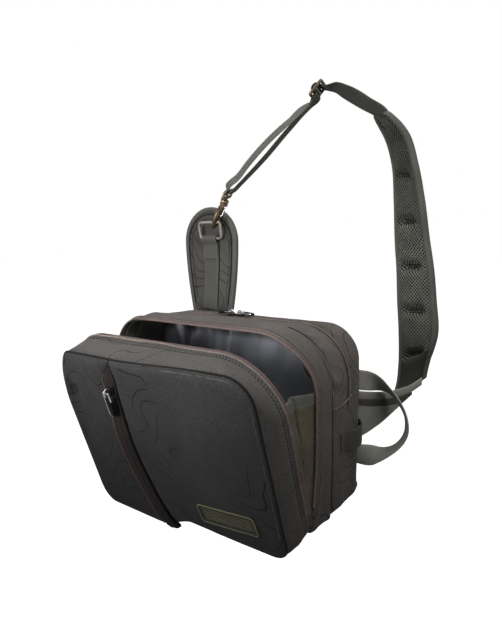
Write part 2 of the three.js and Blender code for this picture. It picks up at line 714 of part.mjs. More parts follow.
function webSection(level, side) {
  const z = WEB_BOTTOM + (WEB_TOP - WEB_BOTTOM) * level;
  const radius = side > 0 ? TOP_RADIUS_RIGHT : TOP_RADIUS_LEFT;
  const fromTop = Math.max(radius - (BAG_HEIGHT - z), 0);
  const x = BAG_WIDTH / 2 - radius + Math.sqrt(radius ** 2 - fromTop ** 2) - WEB_INSET;
  const rim = new THREE.Vector3(side * x, 3.5, z);
  const edge = new THREE.Vector3(side * x, -3.5, z + 4 * level).applyMatrix4(flapMatrix);
  const fold = rim.clone().lerp(edge, 0.5);
  fold.x -= side * WEB_FOLD_IN * (0.25 + 0.75 * level);
  return [rim, fold, edge];
}

for (const [name, side] of [["left", -1], ["right", 1]]) {
  const bindingFrom = 1 - WEB_BINDING / (WEB_TOP - WEB_BOTTOM);
  const gapLevel = CLEAR / (WEB_TOP - WEB_BOTTOM);
  const levels = Array.from({ length: WEB_LEVELS + 1 }, (_, i) => (i / WEB_LEVELS) * (bindingFrom - gapLevel));
  put(bag, `side_web_${name}`, "web", sheet(levels.map((level) => webSection(level, side)), WEB_THICK));
  const bound = [bindingFrom, 1].map((level) => webSection(level, side));
  put(bag, `web_binding_${name}`, "tape", sheet(bound, 2 * WEB_THICK));
}

// Tongue, with its bound edge, its webbing and the ring that the webbing holds

// Outline from the base on the right, up, over the top and down to the base on the left
function tongueOutline(grow) {
  const half = TONGUE.halfWide + grow;
  const base = TONGUE.baseHalf + grow;
  const right = [];
  for (let i = 0; i < TONGUE_SIDE_STEPS; i += 1) {
    const part = i / TONGUE_SIDE_STEPS;
    const x = base + (half - base) * Math.sin((part * Math.PI) / 2);
    right.push(new THREE.Vector2(TONGUE.x + x, TONGUE.baseZ + (TONGUE.middleZ - TONGUE.baseZ) * part));
  }
  const top = Array.from({ length: TONGUE_ARC_STEPS + 1 }, (_, i) => {
    const angle = (Math.PI * i) / TONGUE_ARC_STEPS;
    return new THREE.Vector2(
      TONGUE.x + half * Math.cos(angle),
      TONGUE.middleZ + (TONGUE.crownTall + grow) * Math.sin(angle),
    );
  });
  const left = right.map((p) => new THREE.Vector2(2 * TONGUE.x - p.x, p.y)).reverse();
  return [...right, ...top, ...left];
}

// Plate standing upright, its front face at the given y
function uprightPlate(points, depth, frontY) {
  const geometry = plate(new THREE.Shape(points), depth);
  return geometry.rotateX(Math.PI / 2).translate(0, frontY + depth, 0);
}

const tongueFront = BODY_DEPTH + CLEAR;
put(bag, "strap_tongue", "cloth", uprightPlate(tongueOutline(0), TONGUE.thick, tongueFront));
const bindingLoop = [...tongueOutline(TONGUE.binding), ...tongueOutline(CLEAR).reverse()];
put(bag, "tongue_binding", "tape", uprightPlate(bindingLoop, TONGUE.thick + 1, tongueFront));

const wrap = RING.wire + CLEAR + WEBBING_THICK / 2;
const wrapSteps = 6;
const doubledY = TONGUE_WEBBING.y - WEBBING_THICK - 0.5;
const tongueWebbing = [
  { x: TONGUE_WEBBING.baseX, y: TONGUE_WEBBING.y, z: TONGUE_WEBBING.base },
  { x: TONGUE_WEBBING.x, y: TONGUE_WEBBING.y, z: RING.z - TONGUE_WEBBING.doubled },
  ...Array.from({ length: wrapSteps + 1 }, (_, i) => ({
    x: TONGUE_WEBBING.x,
    y: RING.y + wrap * Math.cos((Math.PI * i) / wrapSteps),
    z: RING.z + wrap * Math.sin((Math.PI * i) / wrapSteps),
  })),
  { x: TONGUE_WEBBING.x, y: doubledY, z: RING.z - TONGUE_WEBBING.doubled / 2 },
  { x: TONGUE_WEBBING.x, y: doubledY, z: RING.z - TONGUE_WEBBING.doubled },
];
put(bag, "tongue_webbing", "tape", webbing(
  tongueWebbing.map(({ x, y, z }) => ({ at: [x, y, z], across: [1, 0, 0] })), TONGUE_WEBBING.wide,
));

// The lower bar of the ring is at the origin here
function makeRing() {
  const corners = [[1, 0, -90], [1, 1, 0], [-1, 1, 90], [-1, 0, 180]];
  const steps = 3;
  const sides = 8;
  const rings = corners.flatMap(([aside, upper, from]) => arc(
    aside * (RING.halfWide - RING.corner), upper ? RING.tall - RING.corner : RING.corner,
    RING.corner, from, steps,
  ).map((p, i) => {
    const turn = THREE.MathUtils.degToRad(from + (90 * i) / steps);
    const out = new THREE.Vector3(Math.cos(turn), 0, Math.sin(turn));
    return Array.from({ length: sides }, (_, k) => {
      const angle = (2 * Math.PI * (k + 0.5)) / sides;
      const point = new THREE.Vector3(p.x, RING.wire * Math.sin(angle), p.z);
      return point.addScaledVector(out, RING.wire * Math.cos(angle));
    });
  }));
  return loft(rings, true);
}

const ring = put(bag, "tongue_ring", "ring", makeRing());
ring.position.set(RING.x, RING.y, RING.z);
ring.rotation.x = RING_TILT;

// Snap hook: its +X runs along the axis to the strap, and it bends in the plane of X and Y

const hookFrame = new THREE.Group();
const hookAxis = new THREE.Vector3(Math.cos(HOOK_RISE), 0, Math.sin(HOOK_RISE));
const hookSide = new THREE.Vector3(0, 1, 0).applyAxisAngle(hookAxis, HOOK_ROLL);
const hookNormal = hookAxis.clone().cross(hookSide);
const ringTop = new THREE.Vector3(
  HOOK_X, RING.y - RING.tall * Math.sin(RING_TILT), RING.z + RING.tall * Math.cos(RING_TILT),
);
const hookMatrix = basis(hookAxis, hookSide, hookNormal, ringTop);
hookFrame.applyMatrix4(hookMatrix);
bag.add(hookFrame);

function circle(radius, sides) {
  const points = Array.from({ length: sides }, (_, i) => (
    new THREE.Vector2(radius * Math.cos((2 * Math.PI * i) / sides), radius * Math.sin((2 * Math.PI * i) / sides))
  ));
  return new THREE.Shape(points);
}

function wireAlong(points, radius, steps) {
  const path = new THREE.CatmullRomCurve3(points, false, "centripetal");
  return new THREE.ExtrudeGeometry(circle(radius, 8), { steps, extrudePath: path });
}

function makeHook() {
  const bendSteps = 8;
  const bendPoints = Array.from({ length: bendSteps + 1 }, (_, i) => {
    const angle = -Math.PI / 2 - (Math.PI * i) / bendSteps;
    return new THREE.Vector3(HOOK.centre + HOOK.bend * Math.cos(angle), HOOK.bend * Math.sin(angle), 0);
  });
  const wire = wireAlong([
    new THREE.Vector3(HOOK.neck, -1, 0),
    new THREE.Vector3(HOOK.shoulder, -5.5, 0),
    new THREE.Vector3(HOOK.shoulder - 7, -HOOK.bend, 0),
    ...bendPoints,
    new THREE.Vector3(HOOK.tip, HOOK.bend, 0),
  ], HOOK.wire, 26);
  const collarFrom = HOOK.neck - 2;
  const collarTo = EYE.base - CLEAR;
  const collar = rod(HOOK.collar, collarTo - collarFrom, 12).rotateZ(Math.PI / 2)
    .translate((collarFrom + collarTo) / 2, 0, 0);
  const postTo = EYE.slot + 2.2;
  const post = rod(HOOK.post, postTo - collarTo + 1, 10).rotateZ(Math.PI / 2)
    .translate((postTo + collarTo) / 2 - 0.5, 0, 0);
  const headLong = 1.5;
  const head = rod(HOOK.post + 1.2, headLong, 10).rotateZ(Math.PI / 2)
    .translate(EYE.slot + CLEAR + headLong / 2, 0, 0);
  const lug = block(5, GATE.side + 1, 1.6, GATE.pivot + 1.5, GATE.side / 2 + 0.5, -GATE.wire - CLEAR - 0.8);
  const root = block(5, 5, 5, GATE.pivot + 3, 0.5, 0);
  const pinLong = 2 * GATE.wire + CLEAR + 1.4;
  const pin = rod(GATE.pin, pinLong, 8).rotateX(Math.PI / 2)
    .translate(GATE.pivot, GATE.side, GATE.wire - pinLong / 2);
  return join(wire, collar, post, head, lug, root, pin);
}

put(hookFrame, "snap_hook", "bronze", makeHook());

function makeGate() {
  const long = GATE.pivot - GATE.end;
  const bar = block(long, 2 * GATE.wire, 2 * GATE.wire, GATE.pivot - long / 2, GATE.side, 0);
  const boss = rod(GATE.eye, 2 * GATE.wire, 12).rotateX(Math.PI / 2).translate(GATE.pivot, GATE.side, 0);
  const hole = rod(GATE.pin + CLEAR, 4 * GATE.wire, 12).rotateX(Math.PI / 2).translate(GATE.pivot, GATE.side, 0);
  return cut(join(bar, boss), hole);
}

put(hookFrame, "hook_gate", "steel", makeGate());

function makeEye() {
  const long = EYE.end - EYE.base;
  const middle = (EYE.end + EYE.base) / 2;
  const frame = block(long, 2 * EYE.halfWide, EYE.thick, middle, 0, 0);
  const hub = rod(HOOK.post + 2.2, EYE.slot - EYE.base, 12).rotateZ(Math.PI / 2)
    .translate((EYE.base + EYE.slot) / 2, 0, 0);
  const slot = block(EYE.top - EYE.slot, 2 * EYE.halfSlot, 2 * EYE.thick, (EYE.slot + EYE.top) / 2, 0, 0);
  const hole = rod(HOOK.post + CLEAR, long, 12).rotateZ(Math.PI / 2).translate(EYE.base, 0, 0);
  return cut(join(frame, hub), slot, hole);
}

put(hookFrame, "hook_eye", "bronze", makeEye());

// Strap slider: its +X runs along the strap and its +Z leaves the wearer's shoulder

const sliderAcross = new THREE.Vector3(-Math.sin(SLIDER_YAW), Math.cos(SLIDER_YAW), 0);
const sliderAlong = new THREE.Vector3(sliderAcross.y, -sliderAcross.x, 0).multiplyScalar(Math.cos(SLIDER_RISE));
sliderAlong.z = Math.sin(SLIDER_RISE);
const sliderUp = sliderAlong.clone().cross(sliderAcross);
const sliderMatrix = basis(sliderAlong, sliderAcross, sliderUp, SLIDER_CENTRE);

function makeSlider() {
  const wide = 2 * (SLIDER.halfSlot + SLIDER.rail);
  const long = 2 * SLIDER.halfLong;
  const frame = block(long, wide, SLIDER.thick);
  const window = block(long - 2 * SLIDER.bar, 2 * SLIDER.halfSlot, 2 * SLIDER.thick);
  return join(cut(frame, window), rod(SLIDER.centreBar, wide - 2));
}

put(bag, "strap_slider", "bronze", makeSlider()).applyMatrix4(sliderMatrix);

// Strap webbing: from the pad through the slider, down to the hook, round the bar of its eye,
// and back up to the middle bar of the slider, where its end is sewn.
// In the slider, s runs along the strap and h leaves the shoulder.
// At the eye, p runs along the hook and n leaves its plane.

const ACROSS_STRAP = [0.3, -0.95, 0];
const ACROSS_SLIDER = sliderAcross.clone().negate().toArray();
const ACROSS_EYE = hookSide.clone().negate().toArray();

function inSlider(s, h) {
  return { at: new THREE.Vector3(s, 0, h).applyMatrix4(sliderMatrix).toArray(), across: ACROSS_SLIDER };
}

function atEye(p, n) {
  const bar = (EYE.top + EYE.end) / 2;
  return { at: new THREE.Vector3(bar + p, 0, n).applyMatrix4(hookMatrix).toArray(), across: ACROSS_EYE };
}

const WEBBING_ROWS = [
  { at: [143.9, 166.7, 456.6], across: [0.8, -0.58, 0.05] },
  { at: [128.2, 161.5, 467.7], across: [0.72, -0.65, 0.22] },
  { at: [116.6, 158.5, 475.8], across: [0.66, -0.68, 0.32] },
  { at: [104, 155.7, 483.6], across: [0.6, -0.74, 0.3] },
  { at: [93, 152.2, 489.6], across: [0.48, -0.84, 0.2] },
  inSlider(8.4, -6.5),
  inSlider(6.4, -2.6),
  inSlider(5.6, 1),
  inSlider(4, 4.2),
  inSlider(0, 5.4),
  inSlider(-4, 4.2),
  inSlider(-5.4, 1.5),
  inSlider(-5.9, -1),
  inSlider(-7.2, -2.8),
  inSlider(-11, -3.2),
  inSlider(-18, -1.6),
  { at: [43, 129, 455.5], across: ACROSS_STRAP },
  { at: [13, 121, 432], across: ACROSS_STRAP },
  { at: [-12.5, 114, 407], across: ACROSS_STRAP },
  { at: [-27.5, 109.5, 390], across: ACROSS_STRAP },
  atEye(6, 6),
  atEye(0.5, 4.8),
  atEye(-2.6, 2.6),
  atEye(-3.6, 0),
  atEye(-2.6, -2.6),
  atEye(0.5, -4.6),
  atEye(8, -6.5),
  { at: [12.5, 117, 412.5], across: ACROSS_STRAP },
  { at: [43, 128, 446], across: ACROSS_STRAP },
  inSlider(-17, -4.8),
  inSlider(-9.5, -5.5),
  inSlider(-5, -5),
  inSlider(-3.1, -2.6),
  inSlider(-3, 0.4),
  inSlider(-1.9, 2.4),
  inSlider(0, 3.05),
  inSlider(1.9, 2.4),
  inSlider(3.05, 0),
  inSlider(2.3, -2.2),
];
put(bag, "strap_webbing", "tape", webbing(WEBBING_ROWS));

// Shoulder pad with a bound edge on each side

function padSections() {
  const curve = (side) => new THREE.CatmullRomCurve3(PAD_ROWS.map((row) => vector(row[side])));
  const left = curve("left");
  const right = curve("right");
  const count = (PAD_ROWS.length - 1) * PAD_STEPS_PER_ROW;
  return Array.from({ length: count + 1 }, (_, i) => {
    const part = i / count;
    const row = part * (PAD_ROWS.length - 1);
    const lower = PAD_ROWS[Math.floor(row)];
    const upper = PAD_ROWS[Math.ceil(row)];
    const thick = lower.thick + (upper.thick - lower.thick) * (row - Math.floor(row));
    return { left: left.getPoint(part), right: right.getPoint(part), thick };
  });
}

const sections = padSections();

// Strip of the pad between two distances from one of its edges
function padStrip(columns, from, to, thickness) {
  const grid = sections.map(({ left, right }) => {
    const across = right.clone().sub(left);
    const wide = across.length();
    across.normalize();
    return Array.from({ length: columns + 1 }, (_, j) => {
      const reach = from(wide) + ((to(wide) - from(wide)) * j) / columns;
      return left.clone().addScaledVector(across, reach);
    });
  });
  return sheet(grid, thickness);
}

const EDGE_THIN = 1.5;
const padThick = (i, j) => sections[i].thick - (j === 0 || j === PAD_COLUMNS ? EDGE_THIN : 0);
const tapeThick = (i) => sections[i].thick;
put(bag, "shoulder_pad", "mesh", padStrip(
  PAD_COLUMNS, () => PAD_BINDING + CLEAR, (wide) => wide - PAD_BINDING - CLEAR, padThick,
));
put(bag, "pad_binding_left", "tape", padStrip(1, () => 0, () => PAD_BINDING, tapeThick));
put(bag, "pad_binding_right", "tape", padStrip(1, (wide) => wide - PAD_BINDING, (wide) => wide, tapeThick));

// Wing between the strap and the rear right edge of the bag

function wingStrip(rows, low, high, columns, thickness) {
  const grid = rows.map((row) => Array.from({ length: columns + 1 }, (_, j) => (
    new THREE.Vector3(row.x, BODY_DEPTH + row.behind, low(row) + ((high(row) - low(row)) * j) / columns)
  )));
  return sheet(grid, thickness);
}

put(bag, "strap_wing", "tape", wingStrip(
  WING_ROWS.slice(0, -1), (row) => row.low, (row) => row.high - WING_BINDING - CLEAR, 2, WING_THICK,
));
put(bag, "wing_binding", "tape", wingStrip(
  WING_ROWS, (row) => row.high - WING_BINDING, (row) => row.high, 1, WING_THICK,
));

// Carry handle and side loop

put(bag, "carry_handle", "tape", webbing(
  HANDLE_ROWS.map(({ x, behind, z, across }) => ({ at: [x, BODY_DEPTH + behind, z], across })),
));
put(bag, "side_loop", "tape", webbing(LOOP_ROWS.map(({ x, y }) => ({ at: [x, y, LOOP_Z], across: [0, 0, 1] }))));

// The origin is where the strap hangs
const part = new THREE.Group();
bag.position.copy(HANG).negate();
part.add(bag);
part.updateMatrixWorld(true);

export default part;
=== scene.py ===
# Looks of a sling bag for lure fishing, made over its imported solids.
# Sizes are millimetres in the layout of the bag: x from its middle, y from its mouth back to the
# wearer and z up from its base. to_frame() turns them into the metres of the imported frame.

import math

import bmesh
import bpy
import numpy as np
from mathutils import Matrix, Vector, noise


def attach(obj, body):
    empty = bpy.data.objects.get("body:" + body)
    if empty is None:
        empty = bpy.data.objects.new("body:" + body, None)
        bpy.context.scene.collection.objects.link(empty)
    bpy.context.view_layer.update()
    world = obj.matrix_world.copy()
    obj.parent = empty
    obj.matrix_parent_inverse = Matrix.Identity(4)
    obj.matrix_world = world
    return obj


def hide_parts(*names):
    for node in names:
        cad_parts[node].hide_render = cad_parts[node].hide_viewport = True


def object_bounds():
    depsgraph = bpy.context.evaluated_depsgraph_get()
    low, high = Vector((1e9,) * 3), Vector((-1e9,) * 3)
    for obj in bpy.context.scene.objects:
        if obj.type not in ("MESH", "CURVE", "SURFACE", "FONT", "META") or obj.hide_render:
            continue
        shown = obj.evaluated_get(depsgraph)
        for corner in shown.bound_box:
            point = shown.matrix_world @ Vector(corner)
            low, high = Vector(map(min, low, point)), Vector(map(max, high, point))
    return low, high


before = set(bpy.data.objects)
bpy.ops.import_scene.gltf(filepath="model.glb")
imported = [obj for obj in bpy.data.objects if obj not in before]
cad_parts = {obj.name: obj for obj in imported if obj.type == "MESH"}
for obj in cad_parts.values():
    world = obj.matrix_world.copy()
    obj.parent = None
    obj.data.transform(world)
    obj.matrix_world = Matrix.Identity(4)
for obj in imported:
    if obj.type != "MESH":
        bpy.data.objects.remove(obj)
cad_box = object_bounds()

# Driving sizes
HANG = np.array([104.0, 157.0, 482.7])
HALF_WIDE = 150.0
BAG_HEIGHT = 215.0
BAG_DEPTH = 118.0
FLAP_DEPTH = 43.0
FLAP_TILT = math.radians(17.3)
FLAP_HINGE = np.array([0.0, -0.3, -0.8])
TOP_LEFT = 48.0
TOP_RIGHT = 72.0
BASE_CORNER = 8.0
FLAP_BASE_CORNER = 18.0
WALL = 2.5
WEBBING_WIDE = 25.0
WEBBING_THICK = 1.8
WELD = 2e-6
SHARP = math.radians(42)

# Fineness of the outline of the bag
SMALL_ARC = 7
LARGE_ARC = 22
SIDE_STEPS = 30
TOP_STEPS = 44

# Gussets of the body: depth, inset of the sides and top, drop of the top, lift of the base and
# radius of the top right corner
FRONT_BAND = [
    (0, 1.5, 0, 0.8, 72), (4, 0, 0, 0, 72), (14, 0.5, 0, 0, 71), (27, -2, 0, 0, 70),
    (32, -3, 0.4, 0, 68.5), (35.6, -1.6, 0.5, 0, 68),
]
MIDDLE_BAND = [
    (36, 12.0, 1, 0, 68), (40, 10.5, 1.4, 0, 67.2), (48, 1.2, 2, 0, 66), (62, -0.8, 2.8, 0, 65),
    (78.6, 0, 3.5, 0, 64), (80, 2.4, 3.5, 0, 64), (83, 2.4, 3.5, 0, 64),
]
REAR_BAND = [
    (83.3, 2.4, 3.5, 0, 64), (87, 2.4, 3.5, 0, 64), (88.4, 0, 3.5, 0, 63), (97, -0.6, 3.8, 0, 55),
    (104, 0, 4, 0, 49), (111, 1.5, 4, 1, 44), (115, 5, 4, 3, 41),
]
LINING_ROWS = [
    (6, 0, 0, 0, 72), (27, -1, 0, 0, 70), (35, 4.5, 1, 0, 68), (36, 4.5, 1, 0, 68),
    (46, 0.5, 2, 0, 66), (75.9, 0.5, 3.5, 0, 64),
]
DIVIDER_Y = 76.2
DIVIDER_THICK = 2.5
DIVIDER_BELLY = 14.0
RIM_BOW = 12.0

# Pleat of the right side; a dark cord of painted shadow along its fold, from an x and a z with its
# radius; and its puckers
PLEAT_Y = (30.0, 50.0)
PLEAT_X = (75.0, 138.0)
PLEAT_LEFT = 0.12
PLEAT_SHADOW_LINE = (96.0, 9.0, 1.3)
PINCH_AT = (180.0, 24.0)
GATHER = 6.0
GATHER_Z = (172.0, 40.0)
GATHER_Y = (48.0, 10.0)

# Groove of the rear zip, and the padded back
REAR_GROOVE_Y = (76.0, 90.0)
REAR_ZIP_FROM_Z = 117.0
BACK_RINGS = [(115.3, 5.4, 4, 3.3, 41), (116.4, 6.0, 4, 3.9, 41), (117.6, 9.0, 4, 6, 39)]
BACK_CHANNELS_Z = (60, 110, 160)

# Small folds of the cloth: size, height and seed
BODY_WAVES = [(55, 0.7, 0.0), (17, 0.25, 5.0)]
FLAP_WAVES = [(48, 0.9, 11.0), (15, 0.3, 13.0)]
PANEL_WAVES = [(60, 0.8, 51.0), (16, 0.25, 53.0)]

# Gusset of the flap from its zip edge to its front seam, in the frame of the flap: depth, shift to the
# right, inset of the sides, drop of the top, lift of the base and radii of the top left and top
# right corners
FLAP_ROWS = [
    (0, 0, 1.5, 1.5, 0.8, 53, 71), (4, 0, 0, 0, 0, 54, 70), (22, 0.5, 0, -0.5, 1, 57, 56),
    (37, 2, 3, 0.5, 5, 52, 38), (43, 3, 5.5, 3, 8.5, 42, 28),
]
FLAP_GROOVES = (3.3, 9.0, 13.5)
FLAP_SAG = 24.0
SAG_X = (-45.0, 20.0)
SAG_HEIGHT = 70.0
FLAP_LIFT = 6.0
LIFT_X = (-30.0, 100.0)
LIFT_Z = (100.0, 212.0)
FLAP_LEAN = 13.0
LEAN_X = (50.0, 140.0)
LEAN_Z = (135.0, 212.0)
SEAM_SHIFT = 3.0
SEAM_HALF = 144.5
SEAM_TOP = 212.0
SEAM_BASE = 8.5
SEAM_LEFT = 42.0
SEAM_NARROW = 0.55
SEAM_RIGHT = 28.0
PANEL_THICK = 3.5
PANEL_CROWN = 5.0
PANEL_EDGE = 11.0
PANEL_ROWS = 72
RIDGE_IN = 3.2
RIDGE_OUT = 2.0
RIDGE_RADIUS = 1.5
RIDGE_FROM = (-20.0, 40.0)
FLAP_BACK_Y = -5.5

# Slanting zip of the front: place and width of its welt, from the top to the end under the flap
ZIP_LINE = [(-35, 215), (-41, 165), (-43.5, 110), (-34.5, 55), (-15, 0)]
ZIP_HALF = 7.8
WELT_HIGH = 5.5
WELT_TAIL = 6.0
LENS_BASE_Z = 172.0
LENS_BULGE = 6.0
LENS_AT = (186.0, 17.0)
FRONT_SLIDER_Z = 178.0
FRONT_PULLER_LONG = 32.0

# Soft dents of the front: x, z, radius and depth
DENTS = [(-124, 160, 11, 8.5), (-110, 138, 22, 3.5), (-128, 100, 18, 2.4), (-74, 64, 26, -2.0)]

# Webs between the flap and the mouth
WEB_Z = (24.0, 152.5)
WEB_BINDING = 10.5
WEB_INSET = 4.9
WEB_FOLD = 9.5
WEB_TUCK = 5.0
WEB_TUCK_AT = 0.44
WEB_RISE = 2.2
WEB_NOTCH = 4.0
WEB_EDGE_IN = 3.6
WEB_THICK = 1.2

# Zips
ZIP_FROM_Z = 30.0
ZIP_IN = 2.45
ZIP_OUT = 1.5
TOOTH_PITCH = 1.7
REAR_ZIP_Y = 83.5
REAR_ZIP_WIDE = 6.0
REAR_SLIDERS = {"left": (-20.0, -1.0), "right": (-6.0, 1.0)}
REAR_PULLER_LONG = 21.0
REAR_ZIP_TOP = 211.8

# Slider of a zip: place along it, half width and half height. Then its bail and its puller
RUNNER_ROWS = [
    (-5.5, 2.6, 0.9), (-5, 3.4, 1.3), (-2, 4, 1.5), (2.5, 4, 1.5), (5, 3, 1.3), (5.5, 2.2, 0.9),
]
RUNNER_LIFT = 1.8
BAIL = {"half": 4.2, "foot": 3.0, "rise": 4.5, "wire": 0.85}
PULL_AXIS = 5.0
PULL_DROOP = math.radians(5)
PULL_HALF = 4.1
GRIP = {"from": 6.0, "half": 4.2, "tall": 1.7, "rib": 0.14, "pitch": 3.2, "at": (0.9, 0.3)}
# Radius of a puller's wire, and its place beside and above the middle of the grip
FRONT_WIRE = (1.15, -0.3, 0.4)
REAR_WIRE = (0.8, 0.0, 0.7)

# Badge on the right of the front panel
BADGE = {"x": 85, "z": 47, "wide": 76, "tall": 25, "corner": 4, "turn": 6}
# Distance in from its edge and height
BADGE_PROFILE = [
    (0, 0), (0, 1.6), (0.5, 2.2), (1.2, 2.4), (1.8, 2.3), (2.4, 1.8), (2.8, 1.3), (4.5, 1.25),
]
BADGE_RIM_WIRE = {"inset": 0.8, "corner": 3.6, "height": 2.2, "wire": 0.7}
BADGE_RIBS = {"count": 5, "spread": 6.0, "half": 31, "height": 1.45, "wire": 0.34}

# Tongue behind the bag, its webbing and the ring
TONGUE = {"x": -84.5, "base": 192, "base_half": 29, "middle": 308, "half": 43, "crown": 44, "thick": 6}
TONGUE_FRONT = BAG_DEPTH + 0.3
TONGUE_WEBBING = {"base_x": -86, "bend": (-83, 250), "x": -80.5, "y": 117, "base": 213, "doubled": 28}
RING = {"x": -77.5, "y": 113.8, "z": 312.5, "half": 18.8, "tall": 22, "corner": 4.2, "wire": 2.1}
RING_TILT = math.radians(21)
RING_LEAN = math.radians(11)

# Snap hook along its own axis, and the slider of the strap
HOOK_X = -63.2
HOOK_RISE = math.radians(58.3)
HOOK_ROLL = math.radians(20)
HOOK = {"bend": 8.5, "wire": 2.4, "centre": 2.75, "tip": 9, "shoulder": 25, "neck": 31}
GATE = {"pivot": 27, "side": 8.5, "end": 11.6, "apart": 2.0, "wire": 0.75, "sleeve": 2.6}
EYE = {"base": 38, "bar": 48.5, "half": 14.85, "thick": 3.3}
SLIDER_CENTRE = np.array([72.5, 145.0, 488.5])
SLIDER_RISE = math.radians(48)
SLIDER_YAW = math.radians(17)
SLIDER = {"half_long": 9.75, "half_wide": 14.95, "thick": 3.5, "bar": 1.8}
# Collar and swivel of the hook: place along it and radius
COLLAR_ROWS = [
    (26.4, 3.0), (27, 4.4), (27.8, 5.2), (29.4, 5.2), (30.0, 4.4), (31.4, 4.3), (32, 5.6), (34.6, 5.6),
    (35.6, 4.4), (35.8, 2.4), (40.3, 2.0), (40.4, 3.1), (41.6, 3.1), (42.0, 2.2),
]

# Shoulder pad from the fold behind the wing to its top end: left edge, right edge and thickness
PAD_BINDING = 6.5
PAD_ROUND = 22.0
PAD_ROWS = [
    (152, 126.1, 74, 205.5, 182, 141, 4), (168.5, 159, 104, 206.5, 182.5, 145, 5),
    (169.5, 178, 122, 209.5, 180, 160, 6), (169, 188, 148.5, 215, 175, 176, 7),
    (167, 191, 193.5, 220, 171, 200, 8), (164, 191, 231.5, 216.5, 170, 237, 8),
    (162, 191, 269.5, 212.5, 169, 272, 8), (158.5, 192, 307, 206.5, 167, 306.5, 8),
    (156, 192, 356, 200, 163, 352, 8), (153, 191, 397.5, 192, 160, 390.7, 8),
    (143.5, 190, 430, 182.5, 155, 423.6, 7.5), (126.5, 186, 460, 163, 147, 450.5, 6),
]
PAD_TACKS_Z = (445, 382, 329, 275, 222, 168)
PAD_DENT = 8.5
PAD_BACK_DENT = 1.5
PAD_MESH_FROM_Z = 164.0

# Wing that joins the strap to the bag: x, distance behind the bag, lower and upper edge
WING_THICK = 2.5
WING_BINDING = 9.5
WING_PANEL_TO = 194.01
WING_STRIP = 8.0
WING_ROWS = [
    (118, 1.6, 70, 127.4), (146, 2, 69.7, 127.3), (162, 12.5, 82, 126.4), (178, 31, 100, 126.6),
    (194, 46.5, 120, 132.7), (203, 54.5, 129, 140.5),
]

# Carry handle: x, distance behind the bag, z and direction across the webbing
HANDLE_ROWS = [
    (118, 1.3, 141, 0, 0, 1), (143, 1.8, 140.9, 0, 0, 1), (155, 3.6, 141, 0, -0.1, 1),
    (168, 6, 138.8, 0.15, -0.5, 0.85), (181, 7, 132, 0.4, -0.78, 0.48),
    (193, 6.5, 120, 0.43, -0.83, 0.34), (202, 6.5, 102, 0.42, -0.87, 0.27),
    (202.5, 7, 86.5, 0.46, -0.83, 0.3), (196, 7, 71, 0.52, -0.78, 0.33),
    (185, 6, 59, 0.6, -0.75, 0.2), (172, 4.6, 51.5, 0.55, -0.78, -0.25),
    (158, 3, 48.2, 0.25, -0.4, -0.9), (146, 1.7, 47, 0, 0, -1), (118, 1.3, 46.5, 0, 0, -1),
]
LOOP_Z = 82.5
LOOP_ROWS = [
    (151.1, 58), (151.2, 66), (156, 77), (158.8, 90), (157.3, 101), (152.6, 108.5), (147.7, 113.8),
]

# Strap webbing outside its slider and eye: place and direction across
ACROSS_FRONT = (0.56, -0.78, -0.28)
ACROSS_REAR = (0.39, -0.92, -0.05)
STRAP_TOP = [
    (158, 171.5, 437, 0.75, -0.62, -0.2),
    (143.9, 166.7, 456.6, 0.8, -0.58, 0.05), (128.2, 161.5, 467.7, 0.72, -0.65, 0.22),
    (116.6, 158.5, 475.8, 0.66, -0.68, 0.32), (104, 155.7, 483.6, 0.6, -0.74, 0.3),
    (93, 152.2, 489.6, 0.48, -0.84, 0.2),
]
STRAP_DOWN = [
    (43, 129, 455.5, 0.61, -0.7, -0.37), (13, 121, 432, 0.63, -0.67, -0.39),
    (-12.5, 114, 407, 0.63, -0.66, -0.41), (-27.5, 109.5, 390, 0.63, -0.66, -0.41),
]
STRAP_UP = [(12.5, 117, 412.5), (43, 128, 446)]
SLIDER_IN = [
    (8.4, -6.5), (6.4, -2.6), (5.6, 1), (4, 4.2), (0, 5.4), (-4, 4.2), (-5.4, 1.5), (-5.9, -1),
    (-7.2, -2.8), (-11, -3.2), (-18, -1.6),
]
SLIDER_END = [
    (-17, -4.8), (-9.5, -5.5), (-5, -5), (-3.1, -2.6), (-3, 0.4), (-1.9, 2.4), (0, 3.05), (1.9, 2.4),
    (3.05, 0), (2.3, -2.2),
]
EYE_TURN = [(7, 3.4), (1, 3.9), (-2.4, 2.7), (-3.6, 0), (-2.6, -2.6), (0.5, -4.8), (9, -8)]

# Seam across the right side of the body
SIDE_SEAM = [(150.3, 37, 128), (150.9, 50, 126.6), (151, 63, 127.2), (150.7, 76, 129), (150.2, 88, 132)]

# Stitches: pitch, length and radius of the thread
FLAP_STITCH = (3.8, 2.0, 0.72)
BODY_STITCH = (3.6, 2.4, 0.34)
WELT_STITCH = (3.6, 2.4, 0.36)
TONGUE_STITCH = (3.4, 2.0, 0.42)
LOOP_STITCH = (2.6, 2.0, 0.4)
TACK_STITCH = (2.0, 2.2, 0.8)

# Directions
FORWARD = np.array([0.0, -1.0, 0.0])
BACKWARD = np.array([0.0, 1.0, 0.0])
UPWARD = np.array([0.0, 0.0, 1.0])

# View of the camera
CAMERA_AT = (389.74, -433.6, 310.35)
CAMERA_TURN = math.radians(36.22)
CAMERA_DIP = math.radians(9.16)
CAMERA_ROLL = math.radians(-0.88)
LENS_MM = 28.382
FLOOR_DROP = 250.0
FLOOR_REACH = 14.0

# Lamps: place, aim, size in metres, watts and spread in degrees
LAMPS = {
    "overhead": ((-60, -20, 860), (0, 0, 100), 1.0, 4.0, 180),
    "front_soft": ((-150, -620, 300), (0, -60, 340), 0.35, 0.5, 62),
    "side_soft": ((560, -120, 560), (150, 60, 330), 0.35, 0.3, 54),
}
WORLD_SPAN = 0.9
WORLD_TOP = 0.11
WORLD_SHINE = 0.45
WHITE = (1, 1, 1, 1)


